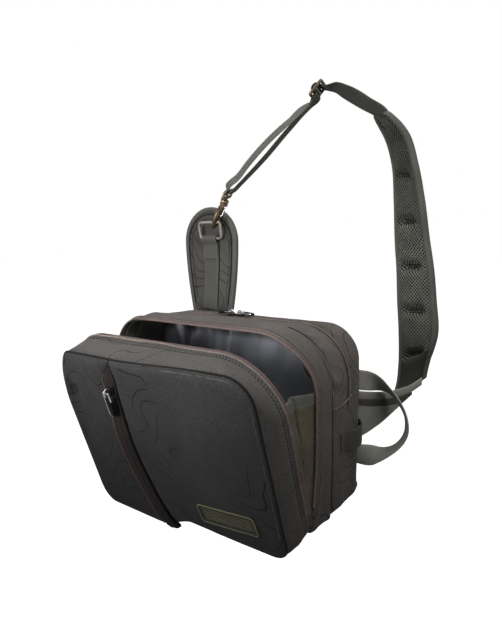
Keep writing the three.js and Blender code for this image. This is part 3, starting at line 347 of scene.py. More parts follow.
# Small helpers

def to_frame(points):
    return (np.asarray(points, float) - HANG) / 1000


def unit(vectors):
    vectors = np.asarray(vectors, float)
    return vectors / np.maximum(np.linalg.norm(vectors, axis=-1, keepdims=True), 1e-9)


def smoothstep(value, low, high):
    part = np.clip((np.asarray(value, float) - low) / (high - low), 0, 1)
    return part * part * (3 - 2 * part)


def bell(value, middle, width):
    return np.exp(-((np.asarray(value, float) - middle) / width) ** 2)


def rumple(points, size, seed):
    """Smooth random heights from about -1 to 1 at each point, with folds of the given size."""
    spots = np.asarray(points, float).reshape(-1, 3) / size
    values = [noise.noise(Vector((p[0] + seed, p[1], p[2]))) for p in spots]
    return np.array(values).reshape(np.asarray(points).shape[:-1]) * 1.6


def waves(points, rows, seed=0.0):
    """Small folds of cloth, from rows of their size, height and seed."""
    return sum(high * rumple(points, size, seed + extra) for size, high, extra in rows)


def eased(count):
    """Shares from 0 to 1 that lie closer together at both ends."""
    return (1 - np.cos(np.pi * np.linspace(0, 1, count + 1))) / 2


def lengths(path):
    """Length of a path from its start to each of its places."""
    return np.concatenate([[0], np.cumsum(np.linalg.norm(np.diff(path, axis=0), axis=1))])


def backward(push):
    return np.stack([0 * push, push, 0 * push], -1)


def flat(places, level):
    """Places in a plane, all at one level above it."""
    return np.column_stack([places, np.full(len(places), level)])


def spline(rows, spacing):
    """Smooth rows through the given ones. The first three columns are the place."""
    rows = np.asarray(rows, float)
    gaps = np.linalg.norm(np.diff(rows[:, :3], axis=0), axis=1)[:, None]
    slopes = np.diff(rows, axis=0) / gaps
    tangents = np.vstack([slopes[:1], slopes])
    tangents[1:-1] = (slopes[:-1] * gaps[1:] + slopes[1:] * gaps[:-1]) / (gaps[1:] + gaps[:-1])
    smooth = []
    for k, gap in enumerate(gaps[:, 0]):
        count = max(int(round(gap / spacing)), 2)
        t = np.arange(count)[:, None] / count
        smooth.append(
            (2 * t**3 - 3 * t**2 + 1) * rows[k] + (t**3 - 2 * t**2 + t) * gap * tangents[k]
            + (3 * t**2 - 2 * t**3) * rows[k + 1] + (t**3 - t**2) * gap * tangents[k + 1]
        )
    return np.vstack(smooth + [rows[-1:]])


def soften(rows, step, passes):
    """Rows of a table at even steps of its first column, with the corners between them eased."""
    table = np.asarray(rows, float)
    count = max(int(round((table[-1, 0] - table[0, 0]) / step)), 3)
    places = np.linspace(table[0, 0], table[-1, 0], count + 1)
    columns = np.stack([np.interp(places, table[:, 0], table[:, k]) for k in range(table.shape[1])], 1)
    for _ in range(passes):
        columns[1:-1, 1:] = (columns[:-2, 1:] + 2 * columns[1:-1, 1:] + columns[2:, 1:]) / 4
    return columns


def even(path, pitch):
    """Rows at an even pitch along a path, whose first three columns are the place."""
    path = np.asarray(path, float)
    length = lengths(path[:, :3])
    count = max(int(length[-1] / pitch), 2)
    at = (np.arange(count) + 0.5) * length[-1] / count
    return np.stack([np.interp(at, length, path[:, k]) for k in range(path.shape[1])], 1)


class Shape:
    """Points, faces and cloth coordinates gathered for one mesh."""

    def __init__(self):
        self.blocks = []
        self.count = 0
        self.faces = []
        self.coords = []

    def add(self, points, faces, coords=None):
        points = np.asarray(points, float).reshape(-1, 3)
        self.faces.extend([[self.count + i for i in face] for face in faces])
        self.coords.extend(coords if coords is not None else [[(0, 0)] * len(face) for face in faces])
        self.blocks.append(points)
        self.count += len(points)

    def lattice(self, grid, close_rows=False, close_columns=False):
        """Faces over rows and columns of points, with coordinates in millimetres of cloth."""
        rows, columns = grid.shape[:2]

        def spans(axis, closed):
            around = np.concatenate([grid, np.take(grid, [0], axis)], axis) if closed else grid
            steps = np.linalg.norm(np.diff(around, axis=axis), axis=2).mean(1 - axis)
            return np.concatenate([[0], np.cumsum(steps)])

        across = spans(1, close_columns)
        along = spans(0, close_rows)
        index = np.arange(rows * columns).reshape(rows, columns)
        i, j = np.meshgrid(np.arange(len(along) - 1), np.arange(len(across) - 1), indexing="ij")
        corners = [(i, j), (i, j + 1), (i + 1, j + 1), (i + 1, j)]
        faces = np.stack([index[a % rows, b % columns] for a, b in corners], -1).reshape(-1, 4)
        coords = np.stack([np.stack([across[b], along[a]], -1) for a, b in corners], 2)
        self.add(grid, faces.tolist(), coords.reshape(-1, 4, 2).tolist())

    def cap(self, ring):
        """Fan that closes a ring of points."""
        count = len(ring)
        points = np.vstack([ring, ring.mean(0)])
        self.add(points, [(k, (k + 1) % count, count) for k in range(count)])

    def rod(self, grid):
        """Skin over rings of points, with both of its ends closed."""
        self.lattice(grid, close_columns=True)
        self.cap(grid[0])
        self.cap(grid[-1])
        return self

    def shell(self, outer, inner):
        """Closed wall between two skins of closed rings."""
        self.lattice(np.concatenate([outer, inner[::-1]]), close_rows=True, close_columns=True)
        return self

    def slab(self, front, back):
        """Closed wall between two skins that have four edges."""
        self.lattice(np.concatenate([front, back[:, ::-1]], 1), close_columns=True)
        for row in (0, -1):
            self.lattice(np.stack([front[row], back[row]]))
        return self

    def move(self, turn):
        """Take every point through a function of places."""
        self.blocks = [turn(block) for block in self.blocks]
        return self

    def sweep(self, path, side, up, section, closed=False, scale=None):
        """Section of side and up distances carried along a path."""
        size = np.ones(len(path)) if scale is None else np.asarray(scale)
        section = np.asarray(section)[None] * size[:, None, None]
        side = np.broadcast_to(side, path.shape)
        up = np.broadcast_to(up, path.shape)
        grid = path[:, None] + side[:, None] * section[..., :1] + up[:, None] * section[..., 1:]
        if closed:
            self.lattice(grid, close_rows=True, close_columns=True)
        else:
            self.rod(grid)
        return self

    def tube(self, path, radius, reference, sides=10, closed=False, scale=None):
        """Round wire along a path. Reference is a direction that the path never follows."""
        path = np.asarray(path, float)
        if closed:
            along = np.roll(path, -1, 0) - np.roll(path, 1, 0)
        else:
            along = np.gradient(path, axis=0)
        side = unit(np.cross(along, reference))
        up = unit(np.cross(side, along))
        return self.sweep(path, side, up, oval(radius, radius, sides), closed, scale)

    def ribbon(self, rows, wide, thick, spacing=2.5):
        """Webbing along rows of place and direction across."""
        rows = spline(rows, spacing)
        along = unit(np.gradient(rows[:, :3], axis=0))
        across = unit(rows[:, 3:6] - along * (rows[:, 3:6] * along).sum(1, keepdims=True))
        return self.sweep(rows[:, :3], across, np.cross(along, across), flat_section(wide, thick))

    def stitches(self, path, outward, pitch=3.4, long=2.3, radius=0.3):
        """Row of short threads along a path that lies on cloth facing outward."""
        path = np.asarray(path, float)
        both = np.hstack([path, np.broadcast_to(outward, path.shape), np.gradient(path, axis=0)])
        for row in even(both, pitch):
            along = unit(row[6:9])
            up = unit(row[3:6])
            side = np.cross(along, up)
            ends = row[:3] + along * np.array([[-long / 2], [long / 2]])
            self.thread(ends, side, up, radius)

    def thread(self, ends, side, up, radius, sides=5):
        turns = np.arange(sides) * 2 * math.pi / sides
        ring = radius * (np.cos(turns)[:, None] * side + np.sin(turns)[:, None] * up)
        inner = 0.8 * ends + 0.2 * ends[::-1]
        points = np.vstack([ends[0] - up * radius * 0.6, inner[0] + ring, inner[1] + ring,
                            ends[1] - up * radius * 0.6])
        last = 2 * sides + 1
        faces = []
        for k in range(sides):
            n = (k + 1) % sides
            faces.append((0, 1 + n, 1 + k))
            faces.append((1 + k, 1 + n, 1 + sides + n, 1 + sides + k))
            faces.append((1 + sides + k, 1 + sides + n, last))
        self.add(points, faces)


def oval(rx, ry, sides, power=1.0):
    """Section of an oval. A power below one makes it squarer."""
    turns = np.arange(sides) * 2 * math.pi / sides
    x = np.sign(np.cos(turns)) * np.abs(np.cos(turns)) ** power
    y = np.sign(np.sin(turns)) * np.abs(np.sin(turns)) ** power
    return np.stack([rx * x, ry * y], 1)


def flat_section(wide, thick, steps=12):
    across = np.linspace(-1, 1, steps + 1)
    rise = 1 - 0.55 * np.abs(across) ** 14
    top = np.stack([across * wide / 2, rise * thick / 2], 1)
    return np.vstack([top, top[::-1] * [1, -1]])


def grid_normals(grid, close_columns=False):
    along = np.gradient(grid, axis=0)
    if close_columns:
        across = np.roll(grid, -1, 1) - np.roll(grid, 1, 1)
    else:
        across = np.gradient(grid, axis=1)
    return unit(np.cross(across, along))


def thickened(grid, thick):
    normals = grid_normals(grid)
    return grid + normals * thick / 2, grid - normals * thick / 2


def piece(name, shape, material, nodes=(), body="bag"):
    """Object made from a shape. It rides on a body and stands for the nodes that it names."""
    mesh = bpy.data.meshes.new(name)
    mesh.from_pydata(to_frame(np.vstack(shape.blocks)).tolist(), [], shape.faces)
    coords = np.array([pair for face in shape.coords for pair in face], float)
    mesh.uv_layers.new(name="cloth").data.foreach_set("uv", coords.ravel())
    welded = bmesh.new()
    welded.from_mesh(mesh)
    bmesh.ops.remove_doubles(welded, verts=welded.verts, dist=WELD)
    bmesh.ops.recalc_face_normals(welded, faces=welded.faces)
    welded.to_mesh(mesh)
    welded.free()
    mesh.shade_smooth()
    mesh.set_sharp_from_angle(angle=SHARP)
    mesh.materials.append(material)
    made = bpy.data.objects.new(name, mesh)
    bpy.context.scene.collection.objects.link(made)
    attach(made, body)
    if nodes:
        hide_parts(*nodes)
    return made


def tubes(name, wires, material, slot, sides=8, **settings):
    """Piece made of round wires, each a path, a radius and a direction that it never follows."""
    shape = Shape()
    for path, radius, reference in wires:
        shape.tube(path, radius, reference, sides, **settings)
    piece(name, shape, material)


def stitched(name, rows, size, material):
    """Piece made of rows of stitches, each a path and the direction that its cloth faces."""
    shape = Shape()
    for path, outward in rows:
        shape.stitches(path, outward, *size)
    piece(name, shape, material)


# Materials

SHADER_SOCKETS = {
    "sheen": "Sheen Weight", "specular": "Specular IOR Level", "metallic": "Metallic",
    "glow": "Emission Strength",
}


class Nodes:
    """Short way to write the nodes of a material."""

    def __init__(self, name):
        self.material = bpy.data.materials.new(name)
        self.material.use_nodes = True
        self.tree = self.material.node_tree
        self.shader = self.tree.nodes["Principled BSDF"]
        self.place = self.add("TexCoord").outputs["Object"]
        self.cloth = self.add("UVMap", uv_map="cloth").outputs[0]

    def add(self, kind, inputs=None, **settings):
        made = self.tree.nodes.new("ShaderNode" + kind)
        for key, value in settings.items():
            setattr(made, key, value)
        for key, value in (inputs or {}).items():
            self.put(made.inputs[key], value)
        return made

    def put(self, socket, value):
        if isinstance(value, bpy.types.NodeSocket):
            self.tree.links.new(value, socket)
        else:
            socket.default_value = value

    def math(self, operation, *values):
        return self.add("Math", dict(enumerate(values)), operation=operation).outputs[0]

    def ramp(self, value, low, high, to_low=0.0, to_high=1.0):
        ends = {"Value": value, "From Min": low, "From Max": high, "To Min": to_low, "To Max": to_high}
        return self.add("MapRange", ends, interpolation_type="SMOOTHSTEP").outputs[0]

    def noise(self, scale, detail=2.0, seed=0.0, vector=None):
        inputs = {"Vector": vector or self.place, "Scale": scale, "Detail": detail, "W": seed}
        return self.add("TexNoise", inputs, noise_dimensions="4D").outputs[0]

    def shade(self, colour, value):
        """Colour made lighter or darker by a number."""
        mixed = self.add("Mix", {0: 1.0, 6: colour, 7: value}, data_type="RGBA", blend_type="MULTIPLY")
        return mixed.outputs[2]

    def mix(self, part, first, second):
        return self.add("Mix", {0: part, 6: first, 7: second}, data_type="RGBA").outputs[2]

    def wave(self, axis, pitch):
        """Sine along one direction of the cloth, from 0 to 1, with a pitch in millimetres."""
        along = self.add("SeparateXYZ", {0: self.cloth}).outputs[axis]
        turned = self.math("SINE", self.math("MULTIPLY", along, 2 * math.pi / pitch))
        return self.math("MULTIPLY_ADD", turned, 0.5, 0.5)

    def finish(self, colour, roughness, height, depth, **constants):
        bump = self.add("Bump", {"Height": height, "Distance": depth / 1000, "Strength": 1.0})
        self.put(self.shader.inputs["Base Color"], colour)
        self.put(self.shader.inputs["Roughness"], roughness)
        self.put(self.shader.inputs["Normal"], bump.outputs[0])
        for key, value in constants.items():
            self.put(self.shader.inputs[SHADER_SOCKETS[key]], value)
        return self.material


def srgb(red, green, blue):
    """Linear colour of the red, green and blue of a screen."""
    return tuple(((c / 255 + 0.055) / 1.055) ** 2.4 for c in (red, green, blue)) + (1.0,)


def printed_lines(nodes, seed, scale, bands, width, cover, leftward):
    """Thin lines of equal height on a smooth random ground, as on a map of hills."""
    step = 0.002

    def height(offset):
        at = nodes.add("VectorMath", {0: nodes.place, 1: offset}, operation="ADD").outputs[0]
        return nodes.noise(scale, 1.2, seed, at)

    here = height((0, 0, 0))
    slopes = [nodes.math("SUBTRACT", height(tuple(step * (k == axis) for k in range(3))), here)
              for axis in range(3)]
    steep = nodes.math("SQRT", nodes.math("ADD", nodes.math("ADD", *[
        nodes.math("POWER", slope, 2.0) for slope in slopes[:2]
    ]), nodes.math("POWER", slopes[2], 2.0)))
    away = nodes.math("ABSOLUTE", nodes.math(
        "SUBTRACT", nodes.math("FRACT", nodes.math("MULTIPLY", here, bands)), 0.5,
    ))
    reach = nodes.math("DIVIDE", away, nodes.math("MAXIMUM", steep, 1e-4))
    distance = nodes.math("MULTIPLY", reach, 1000 * step / bands)
    line = nodes.ramp(distance, width * 0.3, width * 0.7, 1.0, 0.0)
    clear = nodes.math("MULTIPLY", line, nodes.ramp(steep, 0.0045, 0.008))
    along = nodes.add("SeparateXYZ", {0: nodes.place}).outputs[0]
    spread = nodes.math("MULTIPLY_ADD", along, -leftward, nodes.noise(6.5, 0.0, seed + 3.7))
    return nodes.math("MULTIPLY", clear, nodes.ramp(spread, cover, cover + 0.05))


def cloth_look(name, colour, print_seed=None, weave=0.9, dark=0.32, cover=0.56, leftward=1.5,
               rough=0.86):
    """Plain woven cloth, with a printed pattern where a seed is given."""
    nodes = Nodes(name)
    warp = nodes.wave(0, weave)
    weft = nodes.wave(1, weave)
    over = nodes.math("MULTIPLY", warp, weft)
    patchy = nodes.ramp(nodes.noise(14.0, 3.0, 1.3), 0.3, 0.7, 0.86, 1.12)
    fibre = nodes.ramp(nodes.noise(800.0, 1.0, 2.1), 0.3, 0.7, 0.76, 1.26)
    tone = nodes.math("MULTIPLY", patchy, fibre)
    tone = nodes.math("MULTIPLY", tone, nodes.ramp(over, 0, 1, 0.82, 1.2))
    worn = nodes.ramp(nodes.add("NewGeometry").outputs["Pointiness"], 0.5, 0.62, 1.0, 1.35)
    shaded = nodes.shade(colour, nodes.math("MULTIPLY", tone, worn))
    if print_seed is not None:
        lines = printed_lines(nodes, print_seed, 10.0, 17.0, 0.85, cover, leftward)
        shaded = nodes.shade(shaded, nodes.math("MULTIPLY_ADD", lines, dark - 1.0, 1.0))
    rough_map = nodes.ramp(fibre, 0.7, 1.3, rough - 0.05, rough + 0.06)
    crumple = nodes.noise(45.0, 3.0, 4.0)
    height = nodes.math("MULTIPLY_ADD", crumple, 1.6, nodes.math("MULTIPLY_ADD", over, 0.3, fibre))
    return nodes.finish(shaded, rough_map, height, 0.35, sheen=0.1, specular=0.1)


def tape_look(name, colour, rib=1.9, depth=0.05):
    """Ribbed webbing: ribs along its length and fine picks across it."""
    nodes = Nodes(name)
    ribs = nodes.wave(0, rib)
    picks = nodes.wave(1, 1.1)
    rib_tone = nodes.ramp(ribs, 0, 1, 0.92, 1.05)
    tone = nodes.math("MULTIPLY", rib_tone, nodes.ramp(picks, 0, 1, 0.97, 1.03))
    patchy = nodes.ramp(nodes.noise(30.0, 3.0, 5.0), 0.3, 0.7, 0.86, 1.12)
    worn = nodes.ramp(nodes.add("NewGeometry").outputs["Pointiness"], 0.5, 0.6, 1.0, 1.3)
    shaded = nodes.shade(colour, nodes.math("MULTIPLY", nodes.math("MULTIPLY", tone, patchy), worn))
    rough_map = nodes.ramp(patchy, 0.85, 1.15, 0.76, 0.9)
    height = nodes.math("MULTIPLY_ADD", ribs, 1.0, nodes.math("MULTIPLY", picks, 0.2))
    return nodes.finish(shaded, rough_map, height, depth, sheen=0.12, specular=0.12)


def lining_look(name, colour, painted_shade=1.0, painted_light=1.0):
    """Coated nylon: smooth and glossy, with small creases. Painted shade darkens its left end and a
    strip along its top, and painted light lightens it towards the right.
    """
    nodes = Nodes(name)
    creases = nodes.noise(38.0, 4.0, 6.0)
    patchy = nodes.ramp(nodes.noise(16.0, 2.0, 7.0), 0.3, 0.7, 0.85, 1.12)
    grid = nodes.math("MULTIPLY", nodes.wave(0, 1.4), nodes.wave(1, 1.4))
    shaded = nodes.shade(colour, nodes.math("MULTIPLY", patchy, nodes.ramp(grid, 0, 1, 0.95, 1.05)))
    axes = nodes.add("SeparateXYZ", {0: nodes.place}).outputs
    # Painted shade: darker towards the left end of the compartment
    shaded = nodes.shade(shaded, nodes.ramp(axes[0], -0.185, -0.1, painted_shade, 1.0))
    # Painted light: lighter towards the right
    shaded = nodes.shade(shaded, nodes.ramp(axes[0], -0.1, -0.06, 1.0, painted_light))
    # Painted shade: a darker strip along the top, under the rim
    shaded = nodes.shade(shaded, nodes.ramp(axes[2], -0.298, -0.288, 1.0, painted_shade))
    rough_map = nodes.ramp(creases, 0.3, 0.7, 0.3, 0.44)
    height = nodes.math("MULTIPLY_ADD", creases, 2.0, nodes.math("MULTIPLY", grid, 0.06))
    return nodes.finish(shaded, rough_map, height, 0.8, specular=0.7)


def mesh_look(name, colour):
    """Air mesh: a staggered field of small dark holes between knitted threads."""
    nodes = Nodes(name)
    axes = nodes.add("SeparateXYZ", {0: nodes.cloth}).outputs
    pitch = 4.4
    turns = [nodes.math("MULTIPLY", axes[k], 2 * math.pi / pitch) for k in range(2)]
    dots = nodes.math("MULTIPLY", *[nodes.math("COSINE", turn) for turn in turns])
    hole = nodes.ramp(dots, -0.08, 0.3)
    patchy = nodes.ramp(nodes.noise(60.0, 3.0, 8.0), 0.3, 0.7, 0.82, 1.15)
    shaded = nodes.shade(colour, nodes.math("MULTIPLY", patchy, nodes.ramp(hole, 0, 1, 1.45, 0.08)))
    # Darker towards the upper end of the pad, down to half
    rise = nodes.add("SeparateXYZ", {0: nodes.place}).outputs[2]
    shaded = nodes.shade(shaded, nodes.ramp(rise, -0.2, -0.06, 1.0, 0.5))
    height = nodes.math("MULTIPLY_ADD", hole, -2.0, nodes.noise(500.0, 2.0, 9.0))
    return nodes.finish(shaded, nodes.ramp(hole, 0, 1, 0.8, 0.95), height, 0.6, sheen=0.1,
                        specular=0.12)


def hard_look(name, colour, metallic, rough, grain=260.0, depth=0.05, worn_colour=None, specular=0.25):
    """Metal, plastic or rubber with fine grain, smudges and rubbed edges."""
    nodes = Nodes(name)
    smudge = nodes.noise(70.0, 4.0, 10.0)
    fine = nodes.noise(grain, 3.0, 11.0)
    shaded = nodes.shade(colour, nodes.ramp(smudge, 0.3, 0.7, 0.82, 1.14))
    if worn_colour is not None:
        rub = nodes.ramp(nodes.add("NewGeometry").outputs["Pointiness"], 0.51, 0.6)
        shaded = nodes.mix(nodes.math("MULTIPLY", rub, nodes.ramp(fine, 0.35, 0.6)), shaded, worn_colour)
    rough_map = nodes.ramp(nodes.math("ADD", smudge, fine), 0.7, 1.3, rough * 0.8, rough * 1.25)
    return nodes.finish(shaded, rough_map, nodes.math("ADD", fine, smudge), depth, metallic=metallic,
                        specular=0.5 if metallic else specular)


CLOTH = cloth_look("bag_cloth", srgb(102, 97, 93), 21.3, weave=1.3, dark=0.25, cover=0.47, leftward=-1.1)
FLAP_CLOTH = cloth_look("flap_cloth", srgb(102, 99, 95), 24.6, weave=1.3)
TONGUE_CLOTH = cloth_look("tongue_cloth", srgb(94, 91, 89), 33.1, weave=1.3, cover=0.6)
PANEL = cloth_look("panel_cloth", srgb(82, 81, 81), 27.9, weave=1.6, dark=0.28, cover=0.6)
# Lighter copy of the panel cloth for the ridge at its edge: painted highlight
RIDGE = cloth_look("panel_edge_painted_highlight", srgb(104, 104, 101), weave=1.6)
PLAIN = cloth_look("plain_cloth", srgb(92, 88, 84))
WELT = cloth_look("welt_cloth", srgb(70, 63, 62), weave=0.8)
WEB = cloth_look("web_cloth", srgb(104, 99, 84), weave=1.3, rough=0.8)
THREAD = cloth_look("thread", srgb(74, 71, 68), weave=0.6)
STITCH = cloth_look("pale_thread", srgb(112, 109, 104), weave=0.6)
# Dark thread, also used for the dark cords of painted shadow in grooves and gaps
DARK_THREAD_AND_PAINTED_SHADOW = cloth_look("dark_thread_and_painted_shadow", srgb(38, 36, 36), weave=0.6)
TONGUE_TAPE = tape_look("tongue_webbing_tape", srgb(94, 95, 87))
BINDING = tape_look("binding_tape", srgb(98, 99, 92), rib=1.3)
PAD_TAPE = tape_look("pad_binding_tape", srgb(94, 95, 88), rib=1.3)
DARK_TAPE = tape_look("dark_tape", srgb(78, 75, 70))
PAD_END = tape_look("pad_end_cloth", srgb(56, 55, 50))
STRAP = tape_look("strap_tape", srgb(86, 87, 80), depth=0.012)
# Painted shade at the left end and under the rim (0.2), and painted light towards the right (1.5)
LINING = lining_look("coated_lining", srgb(178, 181, 193), 0.2, 1.5)
DARK_LINING = lining_look("side_lining", srgb(122, 124, 118))
ZIP_TAPE = cloth_look("zip_tape", srgb(124, 107, 103), weave=0.7)
DARK_ZIP = cloth_look("dark_zip_tape", srgb(62, 54, 52), weave=0.7)
PALE_CORD = cloth_look("pale_zip_cord", srgb(150, 136, 130), weave=0.7)
TEETH = hard_look("zip_teeth", srgb(150, 126, 120), 0.0, 0.5)
MESH = mesh_look("air_mesh", srgb(102, 101, 94))
BADGE_LOOK = hard_look("badge_rubber", srgb(48, 48, 42), 0.0, 0.42, 340.0, 0.08)
BADGE_RIM = hard_look("badge_rim", srgb(150, 148, 112), 0.0, 0.36, 340.0, 0.05)
RUBBER = hard_look("black_rubber", srgb(13, 13, 15), 0.0, 0.5, 420.0, 0.06, srgb(34, 34, 36), 0.09)
DARK_METAL = hard_look("dark_metal", srgb(46, 44, 43), 0.7, 0.34)
# Darker copy of the bronze: painted shade on the back of the hook
BRONZE_PAINTED_SHADE = hard_look("bronze_painted_shade", srgb(40, 33, 25), 0.4, 0.5)
# Webbing of the wing and the handle: the same grey-green as the other tapes, made much lighter as
# painted light for the shade behind the bag
WING = tape_look("wing_tape_painted_light", srgb(148, 149, 140))
HANDLE = tape_look("handle_tape_painted_light", srgb(172, 173, 163))
CHROME = hard_look("bright_metal", srgb(205, 205, 207), 1.0, 0.2)
RING_LOOK = hard_look("ring_satin", srgb(150, 148, 142), 0.55, 0.42, 300.0, 0.05, srgb(190, 188, 182))
BRONZE = hard_look("bronze", srgb(92, 76, 58), 0.6, 0.36, 300.0, 0.07, srgb(168, 142, 110))
STEEL = hard_look("steel_wire", srgb(225, 225, 224), 1.0, 0.22)


# Outline of the bag

def outline(half, top, base, left, right, low, narrow=1.0):
    """Places and outward directions round the bag, from the lower right up, over and down."""
    corners = [
        (half - low, base + low, low, low, -90, SMALL_ARC, SIDE_STEPS),
        (half - right, top - right, right, right, 0, LARGE_ARC, TOP_STEPS),
        (left * narrow - half, top - left, left * narrow, left, 90, LARGE_ARC, SIDE_STEPS),
        (low - half, base + low, low, low, 180, SMALL_ARC, TOP_STEPS),
    ]
    places = []
    outward = []
    arcs = []
    for x, z, wide, tall, start, steps, _ in corners:
        turns = np.radians(start + 90 * np.linspace(0, 1, steps + 1))
        round_it = np.stack([np.cos(turns), np.sin(turns)], 1)
        arcs.append((np.array([x, z]) + round_it * [wide, tall], unit(round_it * [tall, wide])))
    for k, corner in enumerate(corners):
        straight = corner[-1]
        arc, facing = arcs[k]
        part = np.arange(1, straight)[:, None] / straight
        places.extend([arc, arc[-1] + (arcs[(k + 1) % 4][0][0] - arc[-1]) * part])
        outward.extend([facing, np.repeat(facing[-1:], straight - 1, 0)])
    return np.vstack(places), np.vstack(outward)


def at_depth(places, y):
    return np.stack([places[:, 0], np.full(len(places), float(y)), places[:, 1]], 1)


def in_plane(directions):
    return np.stack([directions[:, 0], np.zeros(len(directions)), directions[:, 1]], 1)


def seam_share(y, places):
    """How much of a seam shows: the pleat mostly on the right, the zip groove above its ends."""
    if PLEAT_Y[0] <= y <= PLEAT_Y[1]:
        pinch = 1 + bell(places[:, 1], *PINCH_AT)
        return (PLEAT_LEFT + (1 - PLEAT_LEFT) * smoothstep(places[:, 0], *PLEAT_X)) * pinch
    if REAR_GROOVE_Y[0] <= y <= REAR_GROOVE_Y[1]:
        return smoothstep(places[:, 1], REAR_ZIP_FROM_Z - 12, REAR_ZIP_FROM_Z)
    return np.ones(len(places))


def bow_back(points):
    """Rim of the mouth drawn back on the right, where the web pulls on it."""
    points = np.asarray(points, float)
    x, y, z = points[..., 0], points[..., 1], points[..., 2]
    aside = smoothstep(x, 92, 148) * smoothstep(z, -20, 90) * (1 - 0.75 * smoothstep(z, 165, 214))
    fade = np.clip((PLEAT_Y[0] + 5 - y) / (PLEAT_Y[0] + 5), 0, 1)
    return points + backward(RIM_BOW * aside * fade)


def body_ring(row, deeper=0.0):
    y, inset, drop, lift, right = row
    places, outward = outline(HALF_WIDE, BAG_HEIGHT - drop, lift, TOP_LEFT, right, BASE_CORNER)
    above = 1 - smoothstep(-outward[:, 1], 0.2, 0.95)
    inward = inset * seam_share(y, places) * above + deeper
    return at_depth(places - outward * inward[:, None], y), in_plane(outward)


def body_band(name, rows, node, seed):
    table = soften(rows, 1.2, 1)
    outer = []
    inner = []
    for row in table:
        ring, outward = body_ring(row)
        gathered = smoothstep(ring[:, 0], 70, 120) * bell(ring[:, 2], *GATHER_Z)
        gathered = gathered * bell(row[0], *GATHER_Y)
        pucker = GATHER * gathered * rumple(ring * [1, 0.6, 1], 13, seed + 9)
        swell = waves(ring, BODY_WAVES, seed) + pucker
        outer.append(bow_back(ring + outward * swell[:, None]))
        inner.append(bow_back(body_ring(row, WALL)[0]))
    shape = Shape().shell(np.array(outer), np.array(inner))
    made = piece(name, shape, CLOTH, [node])
    return np.array(outer)


def make_body():
    """Three gussets of the body. Their outer skins are kept for the stitching."""
    bands = (("front", FRONT_BAND), ("middle", MIDDLE_BAND), ("rear", REAR_BAND))
    return [
        body_band("body_cloth_" + place, rows, "body_" + place + "_band", seed)
        for seed, (place, rows) in enumerate(bands, 1)
    ]


def disc(shape, ring, offset, steps=26):
    """Crowned face inside a ring. Offset moves the points, given their share of the way out."""
    centre = ring.mean(0)
    shares = 1 - np.linspace(0, 0.97, steps)
    grid = np.array([centre + (ring - centre) * share for share in shares])
    grid = grid + offset(grid, shares)
    shape.lattice(grid, close_columns=True)
    shape.cap(grid[-1])


def walled_disc(ring, offset, back, steps=26):
    """Crowned face inside a ring, with a flat back that is moved off it."""
    shape = Shape()
    disc(shape, ring, offset, steps)
    shape.lattice(np.array([ring, ring + back]), close_columns=True)
    shape.cap(ring + back)
    return shape


def make_back_panel():
    """Padded back with three sewn channels across it."""
    rings = [body_ring(row)[0] for row in BACK_RINGS]

    def padding(grid, shares):
        channels = sum(bell(grid[..., 2], level, 2.2) for level in BACK_CHANNELS_Z)
        inside = smoothstep(1 - shares, 0, 0.12)[:, None]
        return backward(0.4 * inside - 1.3 * channels * inside)

    shape = Shape()
    shape.cap(rings[0])
    shape.lattice(np.array(rings), close_columns=True)
    disc(shape, rings[-1], padding)
    made = piece("back_padding", shape, PLAIN, ["back_panel"])


def make_lining():
    table = soften(LINING_ROWS, 2.0, 1)
    outer = np.array([body_ring(row, WALL + 0.4)[0] for row in table])
    outward = np.array([body_ring(row)[1] for row in table])
    folds = 0.9 * rumple(outer * [1, 0.35, 1], 30, 31.0) + 0.5 * rumple(outer, 12, 33.0)
    inner = np.array([body_ring(row, WALL + 1.8)[0] for row in table])
    inner = inner - outward * (np.maximum(folds + 0.6, 0))[..., None]
    shape = Shape().shell(bow_back(outer), bow_back(inner))
    made = piece("side_lining", shape, DARK_LINING, ["lining"])


def make_divider():
    """Back wall of the front compartment, whose coated cloth hangs in upright folds."""
    front = body_ring((DIVIDER_Y, 0, 3.5, 0, 64), WALL + 0.6)[0]

    def folds(grid, shares):
        narrow = rumple(grid * [1, 1, 0.35], 18, 41.0) * 3.4
        upright = narrow + rumple(grid * [1, 1, 0.5], 44, 43.0) * 6.0
        inside = smoothstep(1 - shares, 0, 0.1)[:, None]
        belly = DIVIDER_BELLY * smoothstep(1 - shares, 0, 0.8)[:, None]
        return backward(-belly - inside * np.maximum(upright + 2.0, -1.0) * 1.3)

    shape = walled_disc(front, folds, [0, DIVIDER_THICK, 0], 60)
    made = piece("divider_lining", shape, LINING, ["divider"])


# Flap

def on_flap(points):
    """Points of the frame of the flap, which is tilted forward about its hinge."""
    points = np.asarray(points, float)
    y = points[..., 1] * math.cos(FLAP_TILT) - points[..., 2] * math.sin(FLAP_TILT)
    z = points[..., 1] * math.sin(FLAP_TILT) + points[..., 2] * math.cos(FLAP_TILT)
    return np.stack([points[..., 0], y, z], -1) + FLAP_HINGE


flap_forward = on_flap(FORWARD) - on_flap(np.zeros(3))


def sag(x, depth, z):
    """Drop of the front of the flap: down at the base on the left, a little up at the top right."""
    share = np.clip(depth / FLAP_DEPTH, 0, 1)
    drop = FLAP_SAG * (1 - smoothstep(x, *SAG_X)) * (1 - smoothstep(z, 0, SAG_HEIGHT)) * share
    return drop - FLAP_LIFT * smoothstep(x, *LIFT_X) * smoothstep(z, *LIFT_Z) * share**2


def lean(x, depth, z):
    """Shift of the upper left of the flap toward its middle."""
    share = np.clip(depth / FLAP_DEPTH, 0, 1)
    return FLAP_LEAN * smoothstep(-x, *LEAN_X) * smoothstep(z, *LEAN_Z) * share**2


